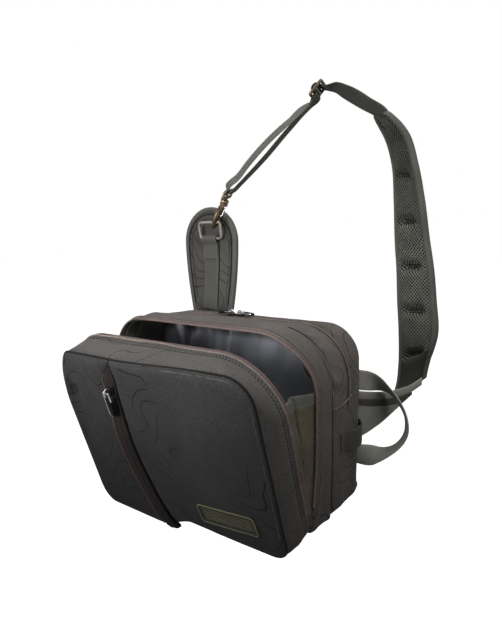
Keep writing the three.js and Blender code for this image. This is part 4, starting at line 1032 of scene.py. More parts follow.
def flap_ring(row, deeper=0.0):
    depth, shift, inset, drop, lift, left, right = row
    narrow = 1 - (1 - SEAM_NARROW) * np.clip(depth / FLAP_DEPTH, 0, 1) ** 4
    places, outward = outline(HALF_WIDE - inset, BAG_HEIGHT - drop, lift, left, right,
                              FLAP_BASE_CORNER, narrow)
    ring = places - outward * deeper
    x, z = places.T
    ring = ring + np.stack([shift + lean(x, depth, z), -sag(x, depth, z)], 1)
    return at_depth(ring, -depth), in_plane(outward)


def make_flap_gusset():
    outer = []
    inner = []
    for row in soften(FLAP_ROWS, 1.0, 2):
        ring, outward = flap_ring(row)
        left = smoothstep(-ring[:, 0], 90, 140) * bell(ring[:, 2], 110, 60)
        swell = waves(ring, FLAP_WAVES) - 3.0 * left * bell(row[0], 24, 12)
        for groove in FLAP_GROOVES:
            swell = swell - 1.1 * bell(row[0], groove, 1.1)
        outer.append(on_flap(ring + outward * swell[:, None]))
        inner.append(on_flap(flap_ring(row, WALL)[0]))
    shape = Shape().shell(np.array(outer), np.array(inner))
    made = piece("flap_cloth", shape, FLAP_CLOTH, ["flap_gusset"])
    return np.array(outer)


def make_flap_lining():
    front = flap_ring((-FLAP_BACK_Y, 0, 0, 0, 0, *FLAP_ROWS[1][5:]), WALL + 0.6)[0]

    def slack(grid, shares):
        return backward(smoothstep(1 - shares, 0, 0.2)[:, None] * (1.5 + 1.2 * rumple(grid, 40, 17.0)))

    shape = walled_disc(front, slack, [0, -WALL, 0]).move(on_flap)
    made = piece("flap_lining", shape, DARK_LINING, ["flap_back"])


zip_samples = spline([(x, 0, z) for x, z in ZIP_LINE], 3.0)


def zip_x(z):
    return np.interp(z, zip_samples[::-1, 2], zip_samples[::-1, 0])


def zip_gap(z):
    """Half of the gap between the front panels, which closes to a point at the top seam."""
    return 0.5 + (ZIP_HALF - 0.5) * smoothstep(SEAM_TOP - np.asarray(z, float), 0, 26)


def seam_reach(z, radius, narrow=1.0):
    """Reach of the front seam to one side of its middle."""
    z = np.asarray(z, float)
    from_top = np.clip(radius - (SEAM_TOP - z), 0, radius)
    from_base = np.clip(FLAP_BASE_CORNER - (z - SEAM_BASE), 0, FLAP_BASE_CORNER)
    upper = SEAM_HALF - narrow * (radius - np.sqrt(radius**2 - from_top**2))
    lower = SEAM_HALF - FLAP_BASE_CORNER + np.sqrt(FLAP_BASE_CORNER**2 - from_base**2)
    return np.minimum(upper, lower)


def crown(x, z):
    aside = 1 - ((x - SEAM_SHIFT) / SEAM_HALF) ** 2
    upright = 1 - ((z - (SEAM_TOP + SEAM_BASE) / 2) / ((SEAM_TOP - SEAM_BASE) / 2)) ** 2
    return PANEL_CROWN * np.sqrt(np.maximum(aside * upright, 0))


def panel_point(x, z, out):
    x, z, out = np.broadcast_arrays(x, z, out)
    y = -FLAP_DEPTH - 0.3 - crown(x, z) - out
    return np.stack([x + lean(x, FLAP_DEPTH, z), y, z - sag(x, FLAP_DEPTH, z)], -1)


panel_heights = SEAM_BASE + (SEAM_TOP - SEAM_BASE) * eased(PANEL_ROWS)


def front_padding(name, node, start, end, columns, swell):
    """Padded half of the front, whose edges roll in to its seams."""
    z = np.repeat(panel_heights[:, None], columns + 1, 1)
    share = eased(columns)
    x = start(panel_heights)[:, None] * (1 - share) + end(panel_heights)[:, None] * share
    face = np.stack([x, z], -1)
    edge = np.vstack([face[:, 0], face[:, -1], face[0], face[-1]])
    away = np.sqrt(((face[:, :, None] - edge[None, None]) ** 2).sum(-1)).min(-1)
    roll = np.clip(away / PANEL_EDGE, 0, 1)
    out = (PANEL_THICK + swell) * np.sqrt(1 - (1 - roll) ** 2)
    for dent_x, dent_z, radius, depth in DENTS:
        out = out - depth * np.exp(-((x - dent_x) ** 2 + (z - dent_z) ** 2) / radius**2) * roll
    out = out + roll * waves(np.stack([x, 0 * x, z], -1), PANEL_WAVES)
    shape = Shape().slab(panel_point(x, z, out), panel_point(x, z, np.minimum(out - 0.1, 0)))
    shape.move(on_flap)
    made = piece(name, shape, PANEL, [node])


def make_front():
    def left_seam(z):
        return SEAM_SHIFT - seam_reach(z, SEAM_LEFT, SEAM_NARROW)

    def left_of_zip(z):
        return zip_x(z) - zip_gap(z) - LENS_BULGE * bell(z, *LENS_AT)

    def right_of_zip(z):
        return zip_x(z) + zip_gap(z) + 3.0 * smoothstep(-z, -190, -130)

    def right_seam(z):
        return SEAM_SHIFT + seam_reach(z, SEAM_RIGHT)

    front_padding("front_padding_left", "front_panel_left", left_seam, left_of_zip, 52, 0.0)
    front_padding("front_padding_right", "front_panel_right", right_of_zip, right_seam, 84, 1.8)


def make_front_zip():
    """Welt over the slanting zip: an open lens at the top, then a rounded fold to under the flap."""
    long = 74
    tail = np.linspace(0, 1, 10)[1:]
    heights = np.concatenate([np.linspace(SEAM_TOP, SEAM_BASE, long), SEAM_BASE - WELT_TAIL * tail])
    fade = np.concatenate([np.ones(long), np.sqrt(1 - 0.9 * tail**6)])
    wide = zip_gap(heights) + 3.6 * smoothstep(-heights, -LENS_BASE_Z, -120)
    high = WELT_HIGH * (0.25 + 0.45 * smoothstep(-heights, -SEAM_TOP, -180)
                        + 0.6 * smoothstep(-heights, -LENS_BASE_Z, -90))
    turns = np.linspace(0, math.pi, 25)
    across = -np.cos(turns)
    crease = 1 - 0.3 * bell(across, -0.3, 0.09) - 0.22 * bell(across, 0.35, 0.09)
    middle = zip_x(heights)
    x = middle[:, None] + wide[:, None] * across * fade[:, None]
    x = x + (LENS_BULGE * bell(heights, *LENS_AT))[:, None] * np.minimum(across, 0)
    base = panel_point(middle, heights, 0.0)
    out = high[:, None] * np.sin(turns) ** 0.7 * crease * fade[:, None]
    lens = smoothstep(heights, LENS_BASE_Z - 8, LENS_BASE_Z + 8)[:, None]
    out = out * (1 - 0.85 * lens * bell(across, 0.15, 0.5))
    y = base[:, 1:2] + 0 * x
    z = base[:, 2:] + 0 * x
    front = np.stack([x, y - out, z], -1)
    shape = Shape().slab(on_flap(front), on_flap(np.stack([x, y + 0.3, z], -1)))
    piece("front_welt", shape, WELT, ["front_zip"])
    edge = front[6:long + 4, 4] + [-0.8, -0.4, 0]
    size = np.concatenate([np.linspace(0.45, 1, 30), np.ones(len(edge) - 30)])
    tubes("front_zip_cord", [(on_flap(edge), 1.5, FORWARD)], ZIP_TAPE, "zip", scale=size)
    line = front[30:long, 15] - [0, 0.05, 0]
    stitched("front_welt_stitches", [(on_flap(line), flap_forward)], WELT_STITCH, THREAD)
    # Dark cords along both edges of the welt, thin on the left and thick on the right: painted shadow
    # where it meets the panels
    tubes("front_welt_painted_shadow", [
        (on_flap(front[2:long, column] + [0, -0.3, 0]), radius, FORWARD)
        for column, radius in ((1, 0.8), (21, 1.9))
    ], DARK_THREAD_AND_PAINTED_SHADOW, "panel")


# Zips

def arch(places, outward, from_z):
    """Stretch of an outline above a height, from the right over the top to the left."""
    keep = places[:, 2] > from_z
    return places[keep], outward[keep]


def capsules(shape, path, across, up, pitch, long, radius):
    """Row of zip teeth, each a small rounded rod that lies across the path."""
    for row in even(np.hstack([path, across, up]), pitch):
        side = unit(row[3:6])
        rise = unit(row[6:9])
        ends = row[:3] + side * np.array([[-long / 2], [long / 2]])
        shape.thread(ends, np.cross(side, rise), rise, radius)


def edge_zip(name, node, path, outward, forward, turn=lambda points: points):
    """Half of an open zip: a rolled edge of tape with its row of teeth."""
    origin = turn(np.zeros(3))
    out = turn(outward) - origin
    front = np.broadcast_to(turn(np.asarray(forward, float)) - origin, path.shape)
    path = turn(path)
    shape = Shape().sweep(path, out, front, oval(1.25, 1.2, 10, 0.8))
    piece(name + "_tape", shape, ZIP_TAPE, [node])
    shape = Shape()
    capsules(shape, path + front * 1.15 - out * 0.2, out, front, TOOTH_PITCH, 2.0, 0.55)
    piece(name + "_teeth", shape, TEETH)


def make_zips():
    ring, outward = body_ring((0, 0, 0, 0, TOP_RIGHT), ZIP_IN)
    path, out = arch(ring, outward, ZIP_FROM_Z)
    edge_zip("mouth_zip", "rim_zip", bow_back(path + FORWARD * ZIP_OUT), out, FORWARD)
    ring, outward = flap_ring((0, 0, 0, 0, 0, *FLAP_ROWS[0][5:]), ZIP_IN)
    path, out = arch(ring, outward, ZIP_FROM_Z)
    edge_zip("flap_edge_zip", "flap_zip", path + BACKWARD * ZIP_OUT, out, BACKWARD, on_flap)
    ring, outward = body_ring((REAR_ZIP_Y, 0, 3.5, 0, 64), 1.0)
    path, out = arch(ring, outward, REAR_ZIP_FROM_Z)
    back = np.broadcast_to(BACKWARD, path.shape)
    shape = Shape().sweep(path, back, out, flat_section(REAR_ZIP_WIDE, 1.2))
    piece("rear_zip_tape", shape, DARK_ZIP, ["rear_zip"])
    shape = Shape()
    capsules(shape, path + out * 0.7, back, out, TOOTH_PITCH, 3.6, 0.6)
    piece("rear_zip_teeth", shape, TEETH)


def placed(points, axes, origin):
    return np.asarray(points, float) @ np.asarray(axes) + origin


def slider_shapes():
    """Body of a zip slider, and the bail that its puller hangs on. X is along the zip, Z leaves it."""
    sides = 20
    runner = Shape().rod(np.array([
        np.column_stack([np.full(sides, x), oval(half, tall, sides, 0.5) + [0, RUNNER_LIFT]])
        for x, half, tall in spline(RUNNER_ROWS, 0.8)
    ]))
    turns = np.linspace(0, math.pi, 17)
    rise = BAIL["foot"] + BAIL["rise"] * np.sin(turns) ** 0.6
    bail = Shape()
    bail.tube(np.stack([-BAIL["half"] * np.cos(turns), 0 * turns, rise], 1), BAIL["wire"], BACKWARD, 10)
    return runner, bail


def puller_shapes(long, wire_place):
    """Wire loop on its pin, and the rubber grip that it holds. The pin is at the origin, along Y."""
    start = GRIP["from"]
    turns = np.linspace(-math.pi / 2, math.pi / 2, 13)
    end = np.stack([long - start + PULL_HALF * np.cos(turns), PULL_HALF * np.sin(turns)], 1)
    legs = np.linspace(0.0, long - start, 14, endpoint=False)
    loop = np.vstack([
        flat(legs[:, None], -PULL_HALF), end, flat(legs[::-1, None], PULL_HALF),
        np.column_stack([np.zeros(5), np.linspace(PULL_HALF, -PULL_HALF, 7)[1:-1]]),
    ])
    thick, beside, above = wire_place
    wire = Shape().tube(flat(loop, 0.0) + [0, beside, above], thick, UPWARD, 8, closed=True)
    sides = 24
    x = start + (long - start) * eased(29)
    taper = np.sqrt(np.clip(1 - ((x - (start + long) / 2) / ((long - start) / 2)) ** 6, 0.003, 1))
    ribs = 1 + GRIP["rib"] * np.cos((x - start) * 2 * math.pi / GRIP["pitch"])
    grip = Shape().rod(np.array([
        np.column_stack([
            np.full(sides, at),
            oval(GRIP["half"] * size, GRIP["tall"] * size * rib, sides, 0.7) + GRIP["at"],
        ]) for at, size, rib in zip(x, taper, ribs)
    ]))
    return wire, grip


def add_slider(prefix, suffix, body, axes, origin, long, wire_place, turn=lambda points: points):
    """Slider and puller of one zip. The rows of axes are along, across and away from the zip."""
    axes = np.asarray(axes, float)
    cos, sin = math.cos(PULL_DROOP), math.sin(PULL_DROOP)
    droop = np.array([axes[0] * cos - axes[2] * sin, axes[1], axes[2] * cos + axes[0] * sin])
    runner, bail = slider_shapes()
    wire, grip = puller_shapes(long, wire_place)
    for shape in (runner, bail):
        shape.move(lambda points: turn(placed(points, axes, origin)))
    for shape in (wire, grip):
        shape.move(lambda points: turn(placed(points, droop, origin + axes[2] * PULL_AXIS)))
    name = prefix + suffix
    piece(name + "_runner", runner, DARK_METAL, [prefix + "_slider" + suffix])
    piece(name + "_bail", bail, CHROME)
    piece(name + "_wire", wire, CHROME, body=body)
    piece(name + "_grip", grip, RUBBER, [body], body)


def make_sliders():
    for side, (x, along) in REAR_SLIDERS.items():
        axes = [(along, 0, 0), (0, along, 0), (0, 0, 1)]
        add_slider("rear_zip", "_" + side, "rear_zip_puller_" + side, axes,
                   np.array([x, REAR_ZIP_Y, REAR_ZIP_TOP]), REAR_PULLER_LONG, REAR_WIRE)
    spot = panel_point(zip_x(FRONT_SLIDER_Z), FRONT_SLIDER_Z, WELT_HIGH)
    lower = panel_point(zip_x(FRONT_SLIDER_Z - 14), FRONT_SLIDER_Z - 14, WELT_HIGH)
    along = unit(lower - spot)
    out = unit(FORWARD - along * along.dot(FORWARD))
    add_slider("front_zip", "", "front_zip_puller", [along, np.cross(out, along), out],
               spot + out * 0.3, FRONT_PULLER_LONG, FRONT_WIRE, on_flap)


# Badge

def rounded_rectangle(wide, tall, corner, steps=6):
    ring = []
    for k, (x, y) in enumerate([(1, -1), (1, 1), (-1, 1), (-1, -1)]):
        turns = np.radians(-90 + 90 * k + 90 * np.linspace(0, 1, steps + 1))
        ring.append(np.stack([x * (wide / 2 - corner) + corner * np.cos(turns),
                              y * (tall / 2 - corner) + corner * np.sin(turns)], 1))
    return np.vstack(ring)


def make_badge():
    """Bare rubber plate with a raised rim and a ribbed field."""
    reach = 20

    def spot(dx, dz):
        return panel_point(BADGE["x"] + dx, BADGE["z"] + dz, PANEL_THICK)

    along = unit(spot(reach, 0) - spot(-reach, 0))
    rise = unit(spot(0, reach / 2) - spot(0, -reach / 2))
    out = unit(np.cross(along, rise))
    turn = Matrix.Rotation(math.radians(BADGE["turn"]), 3, Vector(out))
    along = np.array(turn @ Vector(along))
    origin = spot(0, 0) + out * 0.9
    rings = [
        flat(rounded_rectangle(BADGE["wide"] - 2 * inward, BADGE["tall"] - 2 * inward,
                               max(BADGE["corner"] - inward * 0.6, 1)), height)
        for inward, height in BADGE_PROFILE
    ]
    plate = Shape()
    plate.cap(rings[0])
    plate.lattice(np.array(rings), close_columns=True)
    plate.cap(rings[-1])
    inset = 2 * BADGE_RIM_WIRE["inset"]
    ring = rounded_rectangle(BADGE["wide"] - inset, BADGE["tall"] - inset, BADGE_RIM_WIRE["corner"])
    rim = Shape()
    rim.tube(flat(ring, BADGE_RIM_WIRE["height"]), BADGE_RIM_WIRE["wire"], UPWARD, 8, closed=True)
    x = np.linspace(-BADGE_RIBS["half"], BADGE_RIBS["half"], 40)
    for level in np.linspace(-BADGE_RIBS["spread"], BADGE_RIBS["spread"], BADGE_RIBS["count"]):
        rim.tube(flat(flat(x, level), BADGE_RIBS["height"]), BADGE_RIBS["wire"], UPWARD, 6)
    axes = np.array([along, np.cross(out, along), out])
    for shape in (plate, rim):
        shape.move(lambda points: on_flap(placed(points, axes, origin)))
    piece("bare_badge", plate, BADGE_LOOK, ["badge"])
    piece("bare_badge_rim", rim, BADGE_RIM)


# Webs

def web_section(level, side):
    z = WEB_Z[0] + (WEB_Z[1] - WEB_Z[0]) * level
    radius = TOP_RIGHT if side > 0 else TOP_LEFT
    from_top = max(radius - (BAG_HEIGHT - z), 0)
    x = HALF_WIDE - radius + math.sqrt(radius**2 - from_top**2) - WEB_INSET
    rim = np.array([side * x, 3.5, z])
    edge = on_flap(np.array([side * x, -3.5, z + 4 * level]))
    part = np.concatenate([
        np.linspace(0, 0.35, 9), np.linspace(0.37, 0.51, 13), np.linspace(0.54, 1, 12),
    ])
    inward = level * (WEB_FOLD * np.sin(math.pi * part) + WEB_TUCK * bell(part, WEB_TUCK_AT, 0.025))
    rim = bow_back(rim)
    edge[0] -= side * WEB_EDGE_IN * level
    section = rim + (edge - rim) * part[:, None]
    section[:, 0] -= side * inward
    rise = WEB_RISE * bell(part, WEB_TUCK_AT - 0.04, 0.16)
    notch = WEB_NOTCH * bell(part, WEB_TUCK_AT + 0.03, 0.03)
    section[:, 2] += (rise - notch) * level**6
    return section


def make_webs():
    binding_from = 1 - WEB_BINDING / (WEB_Z[1] - WEB_Z[0])
    for name, side in (("left", -1), ("right", 1)):
        grid = np.array([web_section(level, side) for level in np.linspace(0, binding_from, 44)])
        normals = grid_normals(grid)
        folds = rumple(grid * [1, 1, 0.6], 18, 61.0 + side) * 2.2 + rumple(grid, 8, 63.0) * 0.6
        hold = np.sin(np.linspace(0, math.pi, grid.shape[1]))
        grid = grid + normals * (folds * hold)[..., None]
        shape = Shape().slab(*thickened(grid, WEB_THICK))
        made = piece("web_cloth_" + name, shape, WEB, ["side_web_" + name])
        grid = np.array([web_section(level, side) for level in np.linspace(binding_from, 1, 6)])
        shape = Shape().slab(*thickened(grid, 2 * WEB_THICK))
        piece("web_tape_" + name, shape, BINDING, ["web_binding_" + name])


# Tongue, ring and hook

def tongue_outline(grow):
    """Open outline from the base on the right, up and over to the base on the left."""
    half = TONGUE["half"] + grow
    base = TONGUE["base_half"] + grow
    part = np.linspace(0, 1, 24, endpoint=False)
    right = np.stack([base + (half - base) * np.sin(part * math.pi / 2),
                      TONGUE["base"] + (TONGUE["middle"] - TONGUE["base"]) * part], 1)
    turns = np.linspace(0, math.pi, 49)
    rise = (TONGUE["crown"] + grow) * np.sin(turns)
    top = np.stack([half * np.cos(turns), TONGUE["middle"] + rise], 1)
    places = np.vstack([right, top, right[::-1] * [-1, 1]])
    return at_depth(places + [TONGUE["x"], 0], TONGUE_FRONT)


def make_tongue():
    front = tongue_outline(0)
    centre = np.array([TONGUE["x"], TONGUE_FRONT, 290.0])

    def skin(y, push):
        shares = 1 - np.linspace(0, 0.97, 40)
        grid = np.array([centre + (front - centre) * share for share in shares])
        grid[..., 1] = y + push(1 - shares)[:, None]
        return grid

    def face(inside):
        return 1.4 * (1 - smoothstep(inside, 0, 0.1)) + 0.9 * bell(inside, 0.2, 0.03)

    def behind(inside):
        return 1.6 * smoothstep(inside, 0, 0.3) - 0.8 * bell(inside, 0.2, 0.03)

    skins = [skin(TONGUE_FRONT, face), skin(TONGUE_FRONT + TONGUE["thick"] - 1, behind)]
    shape = Shape()
    for grid in skins:
        shape.lattice(grid, close_columns=True)
        shape.cap(grid[-1])
    shape.lattice(np.array([grid[0] for grid in skins]), close_columns=True)
    piece("tongue_padding", shape, TONGUE_CLOTH, ["strap_tongue"])
    path = tongue_outline(0.4)
    path[:, 1] = TONGUE_FRONT + TONGUE["thick"] / 2
    along = np.gradient(path, axis=0)
    out = unit(np.cross(along, BACKWARD))
    out = out * np.sign((out * (path - centre)).sum(1, keepdims=True))
    shape = Shape().sweep(path, out, BACKWARD, oval(3.6, 4.0, 16, 0.7))
    piece("tongue_tape", shape, BINDING, ["tongue_binding"])
    shape = Shape()
    for inside, deep, radius in ((0.115, 0.0, 0.3), (0.2, 0.5, 0.42)):
        line = centre + (front - centre) * (1 - inside)
        line[:, 1] = TONGUE_FRONT + deep
        shape.stitches(line[4:-4], FORWARD, 3.2, 2.6, radius)
    seam = centre + (front - centre) * 0.91
    seam[:, 1] = TONGUE_FRONT - 0.1
    shape.tube(seam[4:-4], 0.85, FORWARD, 8)
    # Dark cord beside the right edge of the webbing: painted shadow of the webbing on the tongue
    beside = WEBBING_WIDE / 2 + 0.7
    spec = TONGUE_WEBBING
    gap = [(spec["base_x"], 216), spec["bend"], (spec["x"], RING["z"] - 28), (spec["x"], RING["z"] - 4)]
    shape.tube(np.array([(x + beside, TONGUE_FRONT - 0.2, z) for x, z in gap]), 0.8, FORWARD, 8)
    piece("tongue_stitches_seam_and_painted_shadow", shape, DARK_THREAD_AND_PAINTED_SHADOW)


def make_tongue_webbing():
    """Webbing up the tongue, round the ring and doubled back over itself."""
    spec = TONGUE_WEBBING
    x, y = spec["x"], spec["y"]
    wrap = RING["wire"] + 0.3 + WEBBING_THICK / 2
    doubled_y = y - WEBBING_THICK - 0.5
    low = RING["z"] - spec["doubled"]
    bend_x, bend_z = spec["bend"]
    rows = [(spec["base_x"], y, spec["base"]), (bend_x, y, bend_z), (x, y, low)]
    rows += [
        (x, RING["y"] + wrap * math.cos(turn), RING["z"] + wrap * math.sin(turn))
        for turn in np.linspace(0, math.pi, 9)
    ]
    rows += [(x, doubled_y - 0.4, RING["z"] - 9), (x, doubled_y, RING["z"] - 18), (x, doubled_y, low)]
    shape = Shape().ribbon([row + (1, 0, 0) for row in rows], WEBBING_WIDE, WEBBING_THICK, 2.0)
    piece("tongue_strap", shape, TONGUE_TAPE, ["tongue_webbing"])
    half = WEBBING_WIDE / 2 - 2.5
    face = doubled_y - WEBBING_THICK / 2 - 0.1
    stitched("tongue_strap_stitches", [
        (np.linspace((x - half, face, z), (x + half, face, z), 20), FORWARD)
        for z in np.arange(low + 2.5, RING["z"] - 8, 3.4)
    ], TONGUE_STITCH, STITCH)


def make_ring():
    path = rounded_rectangle(2 * RING["half"], RING["tall"], RING["corner"], 8)
    points = np.column_stack([path[:, 0], np.zeros(len(path)), path[:, 1] + RING["tall"] / 2])
    cos, sin = math.cos(RING_LEAN), math.sin(RING_LEAN)
    axes = np.array([[1, 0, 0], [0, cos, sin], [0, -sin, cos]])
    shape = Shape()
    shape.tube(points @ axes + [RING["x"], RING["y"], RING["z"]], RING["wire"], axes[1], 14, closed=True)
    piece("strap_ring", shape, RING_LOOK, ["tongue_ring"])


hook_axis = np.array([math.cos(HOOK_RISE), 0.0, math.sin(HOOK_RISE)])
hook_side = np.array(Matrix.Rotation(HOOK_ROLL, 3, Vector(hook_axis)) @ Vector((0, 1, 0)))
hook_axes = np.array([hook_axis, hook_side, np.cross(hook_axis, hook_side)])
hook_at = np.array([HOOK_X, RING["y"] - RING["tall"] * math.sin(RING_TILT),
                    RING["z"] + RING["tall"] * math.cos(RING_TILT)])


def on_hook(points):
    return placed(points, hook_axes, hook_at)


def lathe(shape, stations, sides=20):
    """Turned part along X from rows of place and radius."""
    rows = np.asarray(stations, float)
    path = np.column_stack([rows[:, 0], 0 * rows[:, 0], 0 * rows[:, 0]])
    shape.sweep(path, BACKWARD, UPWARD, oval(1, 1, sides), scale=rows[:, 1])


def frame_loop(shape, centre_x, half_x, half_y, wide, thick, corner=2.2):
    """Flat metal frame: a squared bar carried round a rectangle."""
    loop = rounded_rectangle(2 * half_x, 2 * half_y, corner, 6)
    path = flat(loop + [centre_x, 0], 0.0)
    along = np.roll(path, -1, 0) - np.roll(path, 1, 0)
    side = unit(np.cross(along, UPWARD))
    shape.sweep(path, side, UPWARD, oval(wide / 2, thick / 2, 16, 0.55), closed=True)


def make_hook():
    """Hook with its collar, and a dark bronze bar along its back that is painted shade on that side."""
    bend, wire = HOOK["bend"], HOOK["wire"]
    turns = -math.pi / 2 - np.linspace(0, math.pi, 15)
    rows = [(HOOK["neck"], -1, 0), (HOOK["shoulder"], -5.5, 0), (HOOK["shoulder"] - 7, -bend, 0)]
    rows += [(HOOK["centre"] + bend * math.cos(turn), bend * math.sin(turn), 0) for turn in turns]
    path = spline(rows + [(HOOK["tip"], bend, 0)], 1.0)
    along = unit(np.gradient(path, axis=0))
    side = unit(np.cross(along, UPWARD))
    broad = wire * (1.0 + 0.3 * smoothstep(path[:, 0], 2, 12) * smoothstep(-path[:, 1], 0, 6))
    section = oval(1, 1, 18, 0.75)
    shape = Shape()
    shape.rod(path[:, None] + side[:, None] * wire * section[None, :, :1]
              + UPWARD * (broad[:, None] * section[None, :, 1])[..., None])
    lathe(shape, COLLAR_ROWS)
    lug = [(28.5, 0.0, -2.6), (28.0, 5.0, -2.7), (27.3, 9.0, -2.7)]
    shape.tube(spline(lug, 1.0), 1.3, UPWARD, 10)
    pin = [(GATE["pivot"], GATE["side"], z) for z in (-3.6, 0, 2.2)]
    shape.tube(pin, 1.2, BACKWARD, 12)
    piece("strap_hook", shape.move(on_hook), BRONZE, ["snap_hook"])
    # Painted shade: dark bronze bar along the back of the hook, for its shaded side
    spine = spline([(26, -3.6, -2.9), (20, -7.2, -3.0), (10, -8.3, -2.8), (4, -8.2, -1.6)], 1.0)
    shape = Shape().tube(spine, 2.0, UPWARD, 12)
    piece("strap_hook_painted_shade", shape.move(on_hook), BRONZE_PAINTED_SHADE)


def make_gate():
    """Sprung wire gate of the hook with the sleeve that turns on the pin, then the eye."""
    side, apart = GATE["side"], GATE["apart"]
    turns = np.linspace(math.pi / 2, 1.5 * math.pi, 9)
    legs = np.linspace(GATE["pivot"] - 1.5, GATE["end"], 12, endpoint=False)
    bow = [(GATE["end"] + apart * math.cos(turn), side, apart * math.sin(turn)) for turn in turns]
    path = [(x, side, apart) for x in legs] + bow + [(x, side, -apart) for x in legs[::-1]]
    shape = Shape().tube(path, GATE["wire"], BACKWARD, 10)

    def sleeve(radius):
        ring = oval(radius, radius, 20) + [GATE["pivot"], side]
        return np.array([flat(ring, level) for level in np.linspace(-1.6, 1.6, 5)])

    shape.shell(sleeve(GATE["sleeve"]), sleeve(1.6))
    piece("hook_gate_wire", shape.move(on_hook), STEEL, ["hook_gate"], "hook_gate")
    base, bar = EYE["base"], EYE["bar"]
    shape = Shape()
    frame_loop(shape, (base + bar) / 2, (bar - base) / 2, EYE["half"], 3.4, EYE["thick"])
    piece("strap_eye", shape.move(on_hook), BRONZE, ["hook_eye"])


slider_across = np.array([-math.sin(SLIDER_YAW), math.cos(SLIDER_YAW), 0.0])
slider_along = np.array([slider_across[1], -slider_across[0], 0.0]) * math.cos(SLIDER_RISE)
slider_along[2] = math.sin(SLIDER_RISE)
slider_axes = np.array([slider_along, slider_across, np.cross(slider_along, slider_across)])


def on_slider(points):
    return placed(points, slider_axes, SLIDER_CENTRE)


def make_strap():
    """Slider of the strap, and the webbing through it, round the eye and back."""
    half = SLIDER["half_wide"]
    shape = Shape()
    frame_loop(shape, 0, SLIDER["half_long"], half, 3.5, SLIDER["thick"])
    shape.tube(np.linspace((0, -half, 0), (0, half, 0), 9), SLIDER["bar"], (1, 0, 0), 14)
    piece("strap_adjuster", shape.move(on_slider), BRONZE, ["strap_slider"])

    def in_slider(places, across):
        return [tuple(on_slider((s, 0, h))) + tuple(across) for s, h in places]

    def at_eye(places, across):
        return [tuple(on_hook((EYE["bar"] + p, 0, n))) + tuple(across) for p, n in places]

    rows = STRAP_TOP + in_slider(SLIDER_IN[:-1], -slider_across)
    rows += in_slider(SLIDER_IN[-1:], ACROSS_FRONT)
    rows += STRAP_DOWN + at_eye(EYE_TURN[:2], STRAP_DOWN[-1][3:]) + at_eye(EYE_TURN[2:], -hook_side)
    rows += [place + ACROSS_REAR for place in STRAP_UP] + in_slider(SLIDER_END[:1], ACROSS_REAR)
    rows += in_slider(SLIDER_END[1:], -slider_across)
    shape = Shape().ribbon(rows, WEBBING_WIDE, WEBBING_THICK, 2.2)
    piece("strap_band", shape, STRAP, ["strap_webbing"])


# Shoulder pad, wing, handle and loop

def pad_sections():
    table = np.asarray(PAD_ROWS, float)
    middle = (table[:, :3] + table[:, 3:6]) / 2
    rows = spline(np.hstack([middle, table]), 2.2)
    thick = rows[:, 9]
    place = lengths(rows[:, :3])
    near_end = np.clip(1 - (place[-1] - place) / PAD_ROUND, 0, 1)
    share = 0.5 * (0.7 + 0.3 * np.sqrt(1 - near_end**2))[:, None]
    reach = (rows[:, 3:6] - rows[:, 6:9]) * share
    left = rows[:, :3] + reach
    right = rows[:, :3] - reach
    across = unit(right - left)
    along = unit(np.gradient(rows[:, :3], axis=0))
    normal = unit(np.cross(along, across))
    return left, right, thick, across, normal * -1, np.linalg.norm(right - left, axis=1)


def make_pad():
    left, right, thick, across, normal, wide = pad_sections()
    middle_z = (left[:, 2] + right[:, 2]) / 2
    share = np.linspace(0, 1, 29)
    inner = PAD_BINDING * 0.55
    reach = inner + (wide - 2 * inner)[:, None] * share
    crowned = (1 - np.abs(2 * share - 1) ** 2.2) ** 0.7
    half = (thick / 2)[:, None] * (0.5 + 1.0 * crowned)
    count = len(left)
    order = np.arange(count)
    ends = smoothstep(order, 0, 4) * smoothstep(-order, 1 - count, 6 - count)
    half = half * (0.45 + 0.55 * ends)[:, None]
    dents = np.zeros_like(half)
    tacked = smoothstep(-np.abs(share - 0.46), -0.4, -0.22)
    for tack in PAD_TACKS_Z:
        dents = dents + bell(middle_z, tack, 5.5)[:, None] * tacked
    middle = left[:, None] + across[:, None] * reach[..., None]
    front = middle + normal[:, None] * (half - PAD_DENT * dents)[..., None]
    back = middle - normal[:, None] * (half - PAD_BACK_DENT * dents)[..., None]
    from_row = int(np.argmax(middle_z > PAD_MESH_FROM_Z))
    shape = Shape().slab(front[from_row:], back[from_row:])
    made = piece("pad_mesh", shape, MESH, ["shoulder_pad"])
    shape = Shape().slab(front[: from_row + 1], back[: from_row + 1])
    piece("pad_end_cloth", shape, PAD_END)
    for name, edge, inward in (("left", left, 1.0), ("right", right, -1.0)):
        section = oval(1, 1, 16, 0.75)
        middle = edge + across * inward * PAD_BINDING / 2
        rise = (thick / 2 * 0.9 + 0.4)[:, None]
        shape = Shape()
        shape.rod(middle[:, None] + across[:, None] * section[None, :, :1] * PAD_BINDING / 2
                  + (normal * rise)[:, None] * section[None, :, 1:])
        piece("pad_tape_" + name, shape, PAD_TAPE, ["pad_binding_" + name])
    rows = [int(np.argmin(np.abs(middle_z - tack))) for tack in PAD_TACKS_Z]
    stitched("pad_tacks", [
        (front[row + shift, 7:19] + normal[row] * 0.15, normal[row])
        for row in rows for shift in (-1, 0, 1)
    ], TACK_STITCH, DARK_THREAD_AND_PAINTED_SHADOW)


